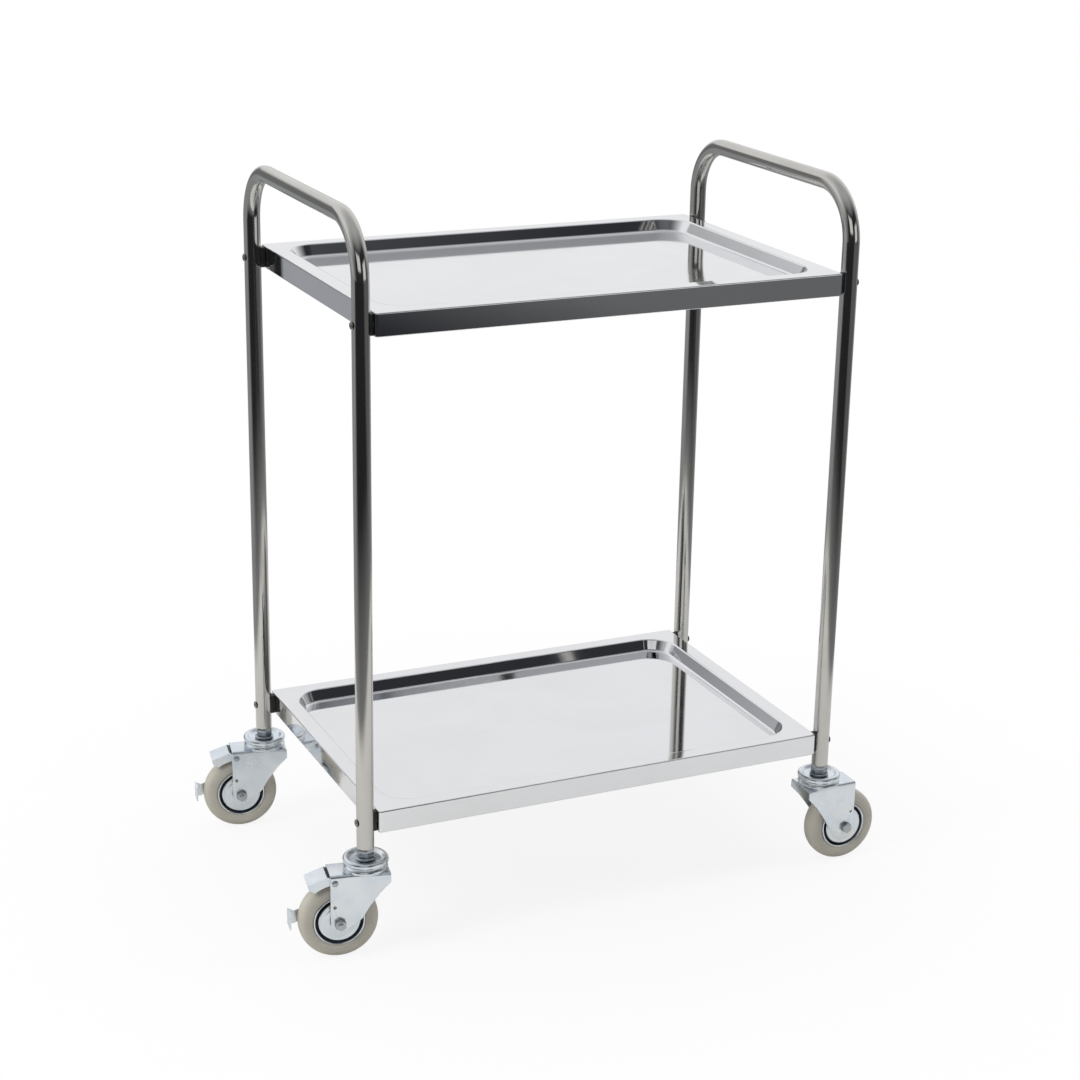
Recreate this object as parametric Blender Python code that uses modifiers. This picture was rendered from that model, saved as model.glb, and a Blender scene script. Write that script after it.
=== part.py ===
# Two-tray stainless steel dressing trolley on four swivel castors, the left pair with brakes.
# Frame: metres, +Z up, +Y to the back, origin on the floor under the middle of the trolley.

import math

import bmesh
import bpy
from mathutils import Matrix, Vector

# Bent tube end frames
TUBE_RADIUS = 0.011
TUBE_WALL = 0.0012
TUBE_SIDES_RESOLUTION = 5
POST_CLEAR_OF_TRAY = 0.015
POST_INSET = 0.010
HANDLE_RISE = 0.105
HANDLE_BEND_RADIUS = 0.070
BEND_STEPS = 6

# Wheel size, how far it trails the swivel axis, and the space over it under the fork
WHEEL_RADIUS = 0.051
TRAIL = 0.036
WHEEL_HEADROOM = 0.0129

# Pressed trays
TRAY_LENGTH = 0.630
TRAY_DEPTH = 0.428
TRAY_SHEET = 0.0010
TRAY_SKIRT = 0.029
TRAY_HEM = 0.010
TRAY_CORNER_RADIUS = 0.003
TRAY_RIM = 0.022
PAN_CORNER_RADIUS = 0.040
PAN_DEPTH = 0.016
PAN_WALL_RUN = 0.008
PAN_EDGE_RADIUS = 0.003
CORNER_STEPS = 5
LOWER_TRAY_RISE = 0.049
TRAY_SPACING = 0.634

# Tray fixings
GAP = 0.0003
BOLT_RADIUS = 0.003
BOLT_HOLE_CLEARANCE = 0.0003
BOLT_HEAD_RADIUS = 0.0062
BOLT_HEAD_HEIGHT = 0.0034
BOLT_END = 0.003
NUT_ACROSS_FLATS = 0.010
NUT_THICKNESS = 0.005
SPACER_WRAP = 0.005
SPACER_HORN = 0.0015

# Castor stem, nut and swivel head
STEM_RADIUS = 0.006
PLUG_LENGTH = 0.025
LOCK_NUT_ACROSS_FLATS = 0.022
LOCK_NUT_THICKNESS = 0.015
HEAD_RADIUS = 0.0290
CAP_SHEET = 0.0014
CAP_FLOOR_RADIUS = 0.0205
CAP_RIDGE_RADIUS = 0.0252
CAP_RIDGE_HALF_WIDTH = 0.0022
CAP_RIDGE_RISE = 0.004
BALL_SPACE = 0.0050
CROWN_HEIGHT = 0.0095
CROWN_TOP_RADIUS = 0.0260
CROWN_BASE_RADIUS = 0.0284
RIVET_HEAD_RADIUS = 0.010
RIVET_HEAD_HEIGHT = 0.0035

# Fork
FORK_INNER_HALF_WIDTH = 0.017
FORK_SHEET = 0.0025
FORK_FRONT_X = -0.028
FORK_FRONT_DROP = 0.0125
FORK_CREASE_X = 0.014
FORK_FRONT_ABOVE_AXLE = ((FORK_CREASE_X, -0.0015), (0.007, 0.006), (0.0, 0.019), (-0.015, 0.040))
CROWN_SUNK = 0.0005
FORK_FLARE_DEG = 7.0
FORK_HOLE_RADIUS = 0.002
FORK_HOLE_X = 0.0425
FORK_HOLE_ABOVE_AXLE = 0.023
FORK_TIP_RADIUS = 0.012
TIP_STEPS = 8

# Wheel
TYRE_WIDTH = 0.027
TYRE_SHOULDER = 0.008
TYRE_THICKNESS = 0.018
RIM_LIP = 0.0018
RIM_WALL = 0.0022
CORE_WEB_HALF_WIDTH = 0.004
HUB_RADIUS = 0.013
HUB_HALF_LENGTH = 0.0115
SLEEVE_RADIUS = 0.0062
GUARD_INSIDE_RIM = 0.0041
GUARD_SHEET = 0.0010
GUARD_DISH = 0.0013
GUARD_BORE_RADIUS = 0.0068
AXLE_RADIUS = 0.004
AXLE_END = 0.0025
AXLE_NUT_ACROSS_FLATS = 0.013
AXLE_NUT_THICKNESS = 0.006
AXLE_HEAD_THICKNESS = 0.005
ROUND_STEPS = 24
SMALL_STEPS = 12

# Brake lever on the left castors
BRAKE_PIVOT_X = 0.042
BRAKE_PIVOT_DROP = 0.0099
BRAKE_PIN_RADIUS = 0.0025
BRAKE_PIN_HEAD_RADIUS = 0.0042
BRAKE_PIN_HEAD = 0.0016
BRAKE_EAR_RADIUS = 0.005
BRAKE_SHEET = 0.002
BRAKE_SIDE_CLEARANCE = 0.0006
BRAKE_TREAD_GAP = 0.003
BRAKE_PAD_FROM_DEG = 76.0
BRAKE_PAD_TO_DEG = 55.0
BRAKE_PAD_STEPS = 6
BRAKE_PLATE = ((0.009, 0.0075), (0.034, -0.001), (0.0325, -0.0075))
BRAKE_ARM_TOP = (0.005, -0.0035)
BRAKE_ARM_LOWER = ((0.002, 0.033), (0.008, 0.021), (0.030, 0.001))
BRAKE_ARM_UPPER = ((0.032, 0.015), (0.016, 0.029), (0.012, 0.041))
BRAKE_TAB_CLEARANCE = 0.0085
BRAKE_TAB_ABOVE_AXLE = 0.011
BRAKE_TAB_BELOW_AXLE = 0.010
BRAKE_TAB_WIDTH = 0.020

# Where each castor stands and where its wheel trails at rest, in degrees from +X
CASTORS = {
    "front_left": (-1, -1, 170.0, True),
    "back_left": (-1, 1, 170.0, True),
    "front_right": (1, -1, 0.0, False),
    "back_right": (1, 1, -8.0, False),
}

# Heights and half sizes that follow from the values above
TRAY_END_X = TRAY_LENGTH / 2
TRAY_SIDE_Y = TRAY_DEPTH / 2
POST_X = TRAY_END_X + POST_CLEAR_OF_TRAY
POST_Y = TRAY_SIDE_Y - POST_INSET
HOLE_RADIUS = BOLT_RADIUS + BOLT_HOLE_CLEARANCE
FORK_TOP_Z = 2 * WHEEL_RADIUS + WHEEL_HEADROOM + FORK_SHEET
CROWN_TOP_Z = FORK_TOP_Z - CROWN_SUNK + CROWN_HEIGHT
CAP_FLOOR_Z = CROWN_TOP_Z + BALL_SPACE + 2 * GAP - CAP_RIDGE_RISE + CAP_SHEET
NUT_TOP_Z = CAP_FLOOR_Z + GAP + LOCK_NUT_THICKNESS
CASTOR_HEIGHT = NUT_TOP_Z + GAP
LOWER_TRAY_TOP_Z = CASTOR_HEIGHT + LOWER_TRAY_RISE
UPPER_TRAY_TOP_Z = LOWER_TRAY_TOP_Z + TRAY_SPACING
HANDLE_CENTRE_Z = UPPER_TRAY_TOP_Z + HANDLE_RISE
TYRE_BORE_RADIUS = WHEEL_RADIUS - TYRE_THICKNESS
GUARD_RADIUS = TYRE_BORE_RADIUS - RIM_WALL - GUARD_INSIDE_RIM
BRAKE_PIVOT_Z = FORK_TOP_Z - BRAKE_PIVOT_DROP
BRAKE_TAB_X = TRAIL + WHEEL_RADIUS + BRAKE_TAB_CLEARANCE
FORK_REAR_X = TRAIL + FORK_TIP_RADIUS
FORK_OUTER_HALF_WIDTH = FORK_INNER_HALF_WIDTH + FORK_SHEET

STEEL = ("polished_steel", (0.62, 0.63, 0.64), 0.12, 1.0)
ZINC = ("zinc_plate", (0.68, 0.73, 0.77), 0.30, 1.0)
RUBBER = ("grey_rubber", (0.42, 0.40, 0.35), 0.65, 0.0)
BLACK = ("black_plastic", (0.015, 0.015, 0.016), 0.5, 0.0)
CORE = ("wheel_core", (0.35, 0.36, 0.36), 0.45, 0.0)


def clear_scene():
    for item in list(bpy.data.objects):
        bpy.data.objects.remove(item, do_unlink=True)


def new_collection(name):
    made = bpy.data.collections.new(name)
    bpy.context.scene.collection.children.link(made)
    return made


def material(look):
    name, colour, roughness, metallic = look
    made = bpy.data.materials.get(name)
    if made is None:
        made = bpy.data.materials.new(name)
        made.use_nodes = True
        shader = made.node_tree.nodes["Principled BSDF"]
        shader.inputs["Base Color"].default_value = (*colour, 1.0)
        shader.inputs["Roughness"].default_value = roughness
        shader.inputs["Metallic"].default_value = metallic
        made.diffuse_color = (*colour, 1.0)
    return made


def place(name, mesh, look, parent=None, location=(0, 0, 0), rotation=(0, 0, 0)):
    """A named object of the trolley, from a mesh, at its place under its parent."""
    item = bpy.data.objects.new(name, mesh)
    parts.objects.link(item)
    if look:
        item.data.materials.clear()
        item.data.materials.append(material(look))
    item.parent = parent
    item.location = location
    item.rotation_euler = rotation
    return item


def smooth(item, angle=40.0):
    item.data.shade_smooth()
    item.data.set_sharp_from_angle(angle=math.radians(angle))


def mesh_from(build):
    """A mesh made by a function that fills a bmesh."""
    work = bmesh.new()
    build(work)
    mesh = bpy.data.meshes.new("shape")
    work.to_mesh(mesh)
    work.free()
    return mesh


def turned_mesh(profile, steps, closed=False):
    """The mesh of an outline of (radius, height) points turned about Z."""
    mesh = bpy.data.meshes.new("profile")
    edges = [(i, i + 1) for i in range(len(profile) - 1)]
    if closed:
        edges.append((len(profile) - 1, 0))
    mesh.from_pydata([(r, 0.0, z) for r, z in profile], edges, [])
    source = bpy.data.objects.new("profile", mesh)
    guides.objects.link(source)
    screw = source.modifiers.new("turn", "SCREW")
    screw.steps = steps
    screw.render_steps = steps
    screw.use_merge_vertices = True
    screw.merge_threshold = 0.00001
    return baked(source)


def baked(source):
    """The evaluated mesh of an object, which is then removed."""
    bpy.context.view_layer.update()
    graph = bpy.context.evaluated_depsgraph_get()
    mesh = bpy.data.meshes.new_from_object(source.evaluated_get(graph))
    mesh.transform(source.matrix_world)
    bpy.data.objects.remove(source, do_unlink=True)
    work = bmesh.new()
    work.from_mesh(mesh)
    bmesh.ops.remove_doubles(work, verts=work.verts, dist=0.000001)
    bmesh.ops.recalc_face_normals(work, faces=work.faces)
    work.to_mesh(mesh)
    work.free()
    return mesh


def outline_mesh(points, thickness):
    """A flat outline in X and Z, given a thickness along Y about Y = 0."""
    curve = bpy.data.curves.new("outline", "CURVE")
    curve.dimensions = "2D"
    curve.fill_mode = "BOTH"
    curve.extrude = thickness / 2
    line = curve.splines.new("POLY")
    line.points.add(len(points) - 1)
    for point, (x, z) in zip(line.points, points):
        point.co = (x, z, 0.0, 1.0)
    line.use_cyclic_u = True
    source = bpy.data.objects.new("outline", curve)
    source.rotation_euler = (math.radians(90), 0, 0)
    guides.objects.link(source)
    return baked(source)


def hexagon_mesh(across_flats, height, bore_radius=0.0, bore_steps=SMALL_STEPS):
    """A hexagon prism standing on Z = 0, with a round bore where one is given."""
    prism = mesh_from(
        lambda work: bmesh.ops.create_cone(
            work,
            cap_ends=True,
            segments=6,
            radius1=across_flats / 2 / math.cos(math.radians(30)),
            radius2=across_flats / 2 / math.cos(math.radians(30)),
            depth=height,
            matrix=Matrix.Translation((0, 0, height / 2)),
        )
    )
    if bore_radius == 0.0:
        return prism
    item = bpy.data.objects.new("prism", prism)
    guides.objects.link(item)
    bore = cylinder_cutter(bore_radius, (0, 0, height / 2), (0, 0, 1), height * 2, bore_steps)
    cut(item, bore)
    return baked(item)


def cylinder_cutter(radius, centre, axis, length, steps=SMALL_STEPS):
    turn = Vector((0, 0, 1)).rotation_difference(Vector(axis)).to_matrix().to_4x4()
    mesh = mesh_from(
        lambda work: bmesh.ops.create_cone(
            work,
            cap_ends=True,
            segments=steps,
            radius1=radius,
            radius2=radius,
            depth=length,
            matrix=Matrix.Translation(centre) @ turn,
        )
    )
    return cutter(mesh)


def box_cutter(low, high):
    low, high = Vector(low), Vector(high)
    size = high - low
    shape = Matrix.Translation((low + high) / 2) @ Matrix.Diagonal((*size, 1.0))
    return cutter(mesh_from(lambda work: bmesh.ops.create_cube(work, size=1.0, matrix=shape)))


def cutter(mesh):
    item = bpy.data.objects.new("cutter", mesh)
    cutters.objects.link(item)
    item.hide_render = True
    item.display_type = "WIRE"
    return item


def cut(item, *tools, operation="DIFFERENCE"):
    for tool in tools:
        boolean = item.modifiers.new("cut", "BOOLEAN")
        boolean.operation = operation
        boolean.object = tool
        boolean.solver = "EXACT"


def end_frame(name, side):
    """An inverted U of round tube: two posts and the push handle that joins them."""
    centre_y = POST_Y - HANDLE_BEND_RADIUS
    centre_z = HANDLE_CENTRE_Z - HANDLE_BEND_RADIUS
    line = [(-POST_Y, CASTOR_HEIGHT)]
    for corner in (-1, 1):
        for step in range(BEND_STEPS + 1):
            turn = math.radians(90) * step / BEND_STEPS
            if corner < 0:
                across, up = -math.cos(turn), math.sin(turn)
            else:
                across, up = math.sin(turn), math.cos(turn)
            line.append(
                (
                    corner * centre_y + HANDLE_BEND_RADIUS * across,
                    centre_z + HANDLE_BEND_RADIUS * up,
                )
            )
    line.append((POST_Y, CASTOR_HEIGHT))
    curve = bpy.data.curves.new(name, "CURVE")
    curve.dimensions = "3D"
    curve.bevel_depth = TUBE_RADIUS
    curve.bevel_resolution = TUBE_SIDES_RESOLUTION
    spline = curve.splines.new("POLY")
    spline.points.add(len(line) - 1)
    for point, (y, z) in zip(spline.points, line):
        point.co = (side * POST_X, y, z, 1.0)
    source = bpy.data.objects.new("path", curve)
    guides.objects.link(source)
    item = place(name, baked(source), STEEL)
    wall = item.modifiers.new("wall", "SOLIDIFY")
    wall.thickness = TUBE_WALL
    wall.offset = -1
    wall.use_even_offset = True
    for tray_top in (LOWER_TRAY_TOP_Z, UPPER_TRAY_TOP_Z):
        for row in (-1, 1):
            centre = (side * POST_X, row * POST_Y, tray_top - TRAY_SKIRT / 2)
            cut(item, cylinder_cutter(HOLE_RADIUS, centre, (1, 0, 0), TUBE_RADIUS * 3))
    smooth(item)
    return item


def rounded_ring(half_x, half_y, radius, z):
    """Points round a rectangle with round corners, the same number whatever its radius."""
    ring = []
    for quarter in range(4):
        start = quarter * 90
        sign_x = 1 if quarter in (0, 3) else -1
        sign_y = 1 if quarter in (0, 1) else -1
        for step in range(CORNER_STEPS + 1):
            turn = math.radians(start + 90 * step / CORNER_STEPS)
            ring.append(
                Vector(
                    (
                        sign_x * (half_x - radius) + radius * math.cos(turn),
                        sign_y * (half_y - radius) + radius * math.sin(turn),
                        z,
                    )
                )
            )
    return ring


def pressed_tray(name, top_z):
    """A tray drawn from one sheet: turned-in hem, skirt, flat rim and a sunk pan."""
    pan_x = TRAY_END_X - TRAY_RIM
    pan_y = TRAY_SIDE_Y - TRAY_RIM
    skirt_z = top_z - TRAY_SKIRT
    edge = PAN_EDGE_RADIUS
    floor_z = top_z - PAN_DEPTH
    rows = (
        (TRAY_HEM, TRAY_CORNER_RADIUS, skirt_z),
        (0.0, TRAY_CORNER_RADIUS, skirt_z),
        (0.0, TRAY_CORNER_RADIUS, top_z),
        (TRAY_RIM, PAN_CORNER_RADIUS, top_z),
        (TRAY_RIM + edge * 0.7, PAN_CORNER_RADIUS - edge * 0.7, top_z - edge * 0.3),
        (TRAY_RIM + edge, PAN_CORNER_RADIUS - edge, top_z - edge),
        (TRAY_RIM + PAN_WALL_RUN, PAN_CORNER_RADIUS - PAN_WALL_RUN, floor_z + edge),
        (
            TRAY_RIM + PAN_WALL_RUN + edge,
            PAN_CORNER_RADIUS - PAN_WALL_RUN - edge,
            floor_z,
        ),
    )

    def build(work):
        rings = []
        for inset, radius, z in rows:
            points = rounded_ring(TRAY_END_X - inset, TRAY_SIDE_Y - inset, radius, z)
            rings.append([work.verts.new(p) for p in points])
        for low, high in zip(rings, rings[1:]):
            for i in range(len(low)):
                j = (i + 1) % len(low)
                work.faces.new((low[i], low[j], high[j], high[i]))
        work.faces.new(rings[-1])

    item = place(name, mesh_from(build), STEEL)
    sheet = item.modifiers.new("sheet", "SOLIDIFY")
    sheet.thickness = TRAY_SHEET
    sheet.offset = -1
    sheet.use_even_offset = True
    for side in (-1, 1):
        for row in (-1, 1):
            centre = (side * TRAY_END_X, row * POST_Y, top_z - TRAY_SKIRT / 2)
            cut(item, cylinder_cutter(HOLE_RADIUS, centre, (1, 0, 0), TRAY_HEM))
    return item


def corner_places(top_z):
    """Where a tray is bolted to the posts: each corner's name, place and turn."""
    for side_name, side in (("left", -1), ("right", 1)):
        for row_name, row in (("front", -1), ("back", 1)):
            centre = Vector((side * POST_X, row * POST_Y, top_z - TRAY_SKIRT / 2))
            turn = Matrix.Rotation(math.radians(0 if side > 0 else 180), 4, "Z")
            yield f"{row_name}_{side_name}", Matrix.Translation(centre) @ turn


def tray_spacers(level, top_z):
    """Saddle blocks of black plastic between the round posts and the flat tray ends."""
    inner = TRAY_END_X + GAP - POST_X
    outer = -TUBE_RADIUS + SPACER_WRAP
    chord = math.sqrt((TUBE_RADIUS + GAP) ** 2 - outer**2)
    half = chord + SPACER_HORN
    size = Vector((outer - inner, 2 * half, TRAY_SKIRT))
    centre = Vector(((outer + inner) / 2, 0, 0))
    shape = Matrix.Translation(centre) @ Matrix.Diagonal((*size, 1.0))
    for corner, where in corner_places(top_z):
        block = mesh_from(lambda work: bmesh.ops.create_cube(work, size=1.0, matrix=shape))
        item = bpy.data.objects.new("saddle", block)
        guides.objects.link(item)
        cut(
            item,
            cylinder_cutter(TUBE_RADIUS + GAP, (0, 0, 0), (0, 0, 1), TRAY_SKIRT * 2, ROUND_STEPS),
            cylinder_cutter(HOLE_RADIUS, (inner, 0, 0), (1, 0, 0), TUBE_RADIUS * 2),
        )
        mesh = baked(item)
        mesh.transform(where)
        place(f"{level}_{corner}_spacer", mesh, BLACK)


def tray_bolts(level, top_z):
    """Dome-head bolts from outside into the tray's end, each with its hexagon nut inside."""
    head_x = TUBE_RADIUS + GAP
    nut_x = TRAY_END_X - TRAY_SHEET - GAP - NUT_THICKNESS - POST_X
    tip_x = nut_x - BOLT_END
    outline = [
        (0.0, head_x + BOLT_HEAD_HEIGHT),
        (BOLT_HEAD_RADIUS * 0.55, head_x + BOLT_HEAD_HEIGHT * 0.85),
        (BOLT_HEAD_RADIUS * 0.9, head_x + BOLT_HEAD_HEIGHT * 0.45),
        (BOLT_HEAD_RADIUS, head_x),
        (BOLT_RADIUS, head_x),
        (BOLT_RADIUS, tip_x + BOLT_RADIUS * 0.3),
        (BOLT_RADIUS * 0.7, tip_x),
        (0.0, tip_x),
    ]
    nut = hexagon_mesh(NUT_ACROSS_FLATS, NUT_THICKNESS)
    nut.transform(Matrix.Translation((0, 0, nut_x)))
    item = bpy.data.objects.new("bolt", turned_mesh(outline, SMALL_STEPS))
    guides.objects.link(item)
    cut(item, cutter(nut), operation="UNION")
    bolt = baked(item)
    bolt.transform(Matrix.Rotation(math.radians(90), 4, "Y"))
    for corner, where in corner_places(top_z):
        mesh = bolt.copy()
        mesh.transform(where)
        smooth(place(f"{level}_{corner}_bolt", mesh, ZINC))


def castor_stem(name, parent):
    """The riveted king pin with its lock nut, which goes up as a stem and plug into the post."""
    plug_radius = TUBE_RADIUS - TUBE_WALL - GAP
    under_web = FORK_TOP_Z - FORK_SHEET - GAP
    rivet_z = under_web - RIVET_HEAD_HEIGHT
    profile = [
        (0.0, CASTOR_HEIGHT + PLUG_LENGTH),
        (plug_radius, CASTOR_HEIGHT + PLUG_LENGTH),
        (plug_radius, CASTOR_HEIGHT + GAP),
        (STEM_RADIUS, CASTOR_HEIGHT + GAP),
        (STEM_RADIUS, under_web),
        (RIVET_HEAD_RADIUS, under_web),
        (RIVET_HEAD_RADIUS * 0.8, rivet_z),
        (0.0, rivet_z),
    ]
    nut = hexagon_mesh(LOCK_NUT_ACROSS_FLATS, LOCK_NUT_THICKNESS)
    nut.transform(Matrix.Translation((0, 0, NUT_TOP_Z - LOCK_NUT_THICKNESS)))
    item = place(name, turned_mesh(profile, SMALL_STEPS), ZINC, parent)
    lock = cutter(nut)
    lock.parent = parent
    cut(item, lock, operation="UNION")
    smooth(item, 30)
    return item


def swivel_cap(name, parent):
    """The upper race: a pressed dish with a round ridge over the balls."""
    top = CAP_FLOOR_Z
    ridge = top + CAP_RIDGE_RISE
    low_edge = CROWN_TOP_Z + 3 * GAP
    upper = [
        (HEAD_RADIUS, low_edge),
        (HEAD_RADIUS, ridge - CAP_RIDGE_HALF_WIDTH * 0.6),
        (CAP_RIDGE_RADIUS + CAP_RIDGE_HALF_WIDTH, ridge),
        (CAP_RIDGE_RADIUS - CAP_RIDGE_HALF_WIDTH, ridge),
        (CAP_FLOOR_RADIUS, top),
        (STEM_RADIUS + GAP, top),
    ]
    lower = [
        (STEM_RADIUS + GAP, top - CAP_SHEET),
        (CAP_FLOOR_RADIUS + CAP_SHEET * 0.4, top - CAP_SHEET),
        (CAP_RIDGE_RADIUS - CAP_RIDGE_HALF_WIDTH, ridge - CAP_SHEET),
        (CAP_RIDGE_RADIUS + CAP_RIDGE_HALF_WIDTH - CAP_SHEET * 0.3, ridge - CAP_SHEET),
        (HEAD_RADIUS - CAP_SHEET, ridge - CAP_RIDGE_HALF_WIDTH * 0.6 - CAP_SHEET * 0.5),
        (HEAD_RADIUS - CAP_SHEET, low_edge),
    ]
    profile = list(reversed(upper)) + list(reversed(lower))
    item = place(name, turned_mesh(profile, ROUND_STEPS, closed=True), ZINC, parent)
    smooth(item)
    return item


def fork_edge():
    """The rear and lower edge of a leg: from the top down, round the axle, to the crease."""
    edge = [(FORK_REAR_X, FORK_TOP_Z)]
    crease_x, crease_rise = FORK_FRONT_ABOVE_AXLE[0]
    front = Vector((crease_x - TRAIL, crease_rise))
    reach = math.acos(FORK_TIP_RADIUS / front.length)
    sweep = (math.degrees(math.atan2(front.y, front.x) + reach)) % 360 - 360
    for step in range(TIP_STEPS + 1):
        turn = math.radians(sweep * step / TIP_STEPS)
        edge.append(
            (
                TRAIL + FORK_TIP_RADIUS * math.cos(turn),
                WHEEL_RADIUS + FORK_TIP_RADIUS * math.sin(turn),
            )
        )
    edge.append((crease_x, WHEEL_RADIUS + crease_rise))
    return edge


def fork_mesh():
    """The folded plate's outer face: a web and two legs, which flare in front of a crease."""
    crease_x = FORK_CREASE_X
    flare = math.tan(math.radians(FORK_FLARE_DEG))
    rear = fork_edge() + [(crease_x, FORK_TOP_Z)]
    front = [(crease_x, FORK_TOP_Z)]
    front += [(x, WHEEL_RADIUS + rise) for x, rise in FORK_FRONT_ABOVE_AXLE]
    front += [(FORK_FRONT_X, FORK_TOP_Z - FORK_FRONT_DROP), (FORK_FRONT_X, FORK_TOP_Z)]

    def build(work):
        tops = []
        for side in (-1, 1):
            rings = []
            for outline in (rear, front):
                ring = []
                for x, z in outline:
                    y = side * (FORK_OUTER_HALF_WIDTH + max(0.0, crease_x - x) * flare)
                    ring.append(work.verts.new((x, y, z)))
                work.faces.new(ring if side < 0 else list(reversed(ring)))
                rings.append(ring)
            tops.append((rings[0][0], rings[0][-1], rings[1][0], rings[1][-1]))
        low, high = tops
        work.faces.new((low[1], low[0], high[0], high[1]))
        work.faces.new((low[3], low[2], high[2], high[3]))
        bmesh.ops.remove_doubles(work, verts=work.verts, dist=0.000001)
        bmesh.ops.recalc_face_normals(work, faces=work.faces)

    return mesh_from(build)


def fork(name, parent, braked):
    """The pressed yoke: a crown under the cap, a top web and a leg each side of the wheel."""
    yoke = place(name, fork_mesh(), ZINC, parent)
    plate = yoke.modifiers.new("plate", "SOLIDIFY")
    plate.thickness = FORK_SHEET
    plate.offset = -1
    plate.use_even_offset = True
    crown_profile = [
        (0.0, CROWN_TOP_Z),
        (CROWN_TOP_RADIUS, CROWN_TOP_Z),
        (CROWN_TOP_RADIUS, CROWN_TOP_Z - CROWN_HEIGHT * 0.35),
        (CROWN_BASE_RADIUS, CROWN_TOP_Z - CROWN_HEIGHT * 0.8),
        (CROWN_BASE_RADIUS, FORK_TOP_Z - FORK_SHEET * 0.8),
        (0.0, FORK_TOP_Z - FORK_SHEET * 0.8),
    ]
    crown = cutter(turned_mesh(crown_profile, ROUND_STEPS))
    across = (0, 1, 0)
    width = FORK_OUTER_HALF_WIDTH * 3
    tools = [
        cylinder_cutter(STEM_RADIUS + GAP, (0, 0, CROWN_TOP_Z), (0, 0, 1), CROWN_HEIGHT * 4),
        cylinder_cutter(AXLE_RADIUS + GAP, (TRAIL, 0, WHEEL_RADIUS), across, width),
        cylinder_cutter(FORK_HOLE_RADIUS, (FORK_HOLE_X, 0, WHEEL_RADIUS + FORK_HOLE_ABOVE_AXLE), across, width, 8),
    ]
    if braked:
        pivot = (BRAKE_PIVOT_X, 0, BRAKE_PIVOT_Z)
        tools.append(cylinder_cutter(BRAKE_PIN_RADIUS + GAP, pivot, across, width))
    cut(yoke, crown, operation="UNION")
    cut(yoke, *tools)
    for tool in (crown, *tools):
        tool.parent = parent
    smooth(yoke, 30)
    return yoke


def axle_bolt(name, parent):
    """The axle: a hexagon-head bolt through both legs and the wheel's bearing."""
    outer = FORK_OUTER_HALF_WIDTH + GAP
    shank = [
        (0.0, outer + AXLE_NUT_THICKNESS + AXLE_END),
        (AXLE_RADIUS, outer + AXLE_NUT_THICKNESS + AXLE_END * 0.6),
        (AXLE_RADIUS, -outer - AXLE_HEAD_THICKNESS * 0.5),
        (0.0, -outer - AXLE_HEAD_THICKNESS * 0.5),
    ]
    item = bpy.data.objects.new("shank", turned_mesh(shank, SMALL_STEPS))
    guides.objects.link(item)
    head = hexagon_mesh(AXLE_NUT_ACROSS_FLATS, AXLE_HEAD_THICKNESS)
    head.transform(Matrix.Translation((0, 0, -outer - AXLE_HEAD_THICKNESS)))
    cut(item, cutter(head), operation="UNION")
    turn = (math.radians(-90), 0, 0)
    made = place(name, baked(item), ZINC, parent, (TRAIL, 0, WHEEL_RADIUS), turn)
    smooth(made, 30)
    return made


def axle_nut(name, parent):
    mesh = hexagon_mesh(AXLE_NUT_ACROSS_FLATS, AXLE_NUT_THICKNESS, AXLE_RADIUS + GAP)
    mesh.transform(Matrix.Translation((0, 0, FORK_OUTER_HALF_WIDTH + GAP)))
    turn = (math.radians(-90), 0, 0)
    return place(name, mesh, ZINC, parent, (TRAIL, 0, WHEEL_RADIUS), turn)


def mirrored_profile(half):
    """A closed outline from its upper half, which runs from the bore out to the tread."""
    return half + [(r, -z) for r, z in reversed(half)]


def wheel_piece(name, parent, profile, look, closed=True, steps=ROUND_STEPS):
    turn = (math.radians(-90), 0, 0)
    item = place(name, turned_mesh(profile, steps, closed), look, parent, rotation=turn)
    smooth(item, 35)
    return item


def tyre(name, parent):
    """The grey rubber tyre, with a crowned tread and round shoulders."""
    half = TYRE_WIDTH / 2
    top = WHEEL_RADIUS
    wall = half - 0.0008
    profile = mirrored_profile(
        [
            (TYRE_BORE_RADIUS + GAP, wall),
            (TYRE_BORE_RADIUS + 0.003, half),
            (top - TYRE_SHOULDER, half),
            (top - TYRE_SHOULDER * 0.42, half - TYRE_SHOULDER * 0.20),
            (top - TYRE_SHOULDER * 0.12, half - TYRE_SHOULDER * 0.58),
            (top, half - TYRE_SHOULDER * 1.1),
        ]
    )
    return wheel_piece(name, parent, profile, RUBBER)


def wheel_core(name, parent):
    """The wheel's centre: a rim for the tyre, a web, and a hub that spaces it from the legs."""
    lip = TYRE_WIDTH / 2 - 0.0004
    inner_rim = TYRE_BORE_RADIUS - RIM_WALL
    profile = mirrored_profile(
        [
            (AXLE_RADIUS + GAP, FORK_INNER_HALF_WIDTH - GAP),
            (SLEEVE_RADIUS, FORK_INNER_HALF_WIDTH - GAP),
            (SLEEVE_RADIUS, HUB_HALF_LENGTH),
            (HUB_RADIUS, HUB_HALF_LENGTH),
            (HUB_RADIUS + 0.0015, CORE_WEB_HALF_WIDTH),
            (inner_rim - 0.0015, CORE_WEB_HALF_WIDTH),
            (inner_rim, lip),
            (TYRE_BORE_RADIUS, lip),
        ]
    )
    return wheel_piece(name, parent, profile, CORE)


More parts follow.
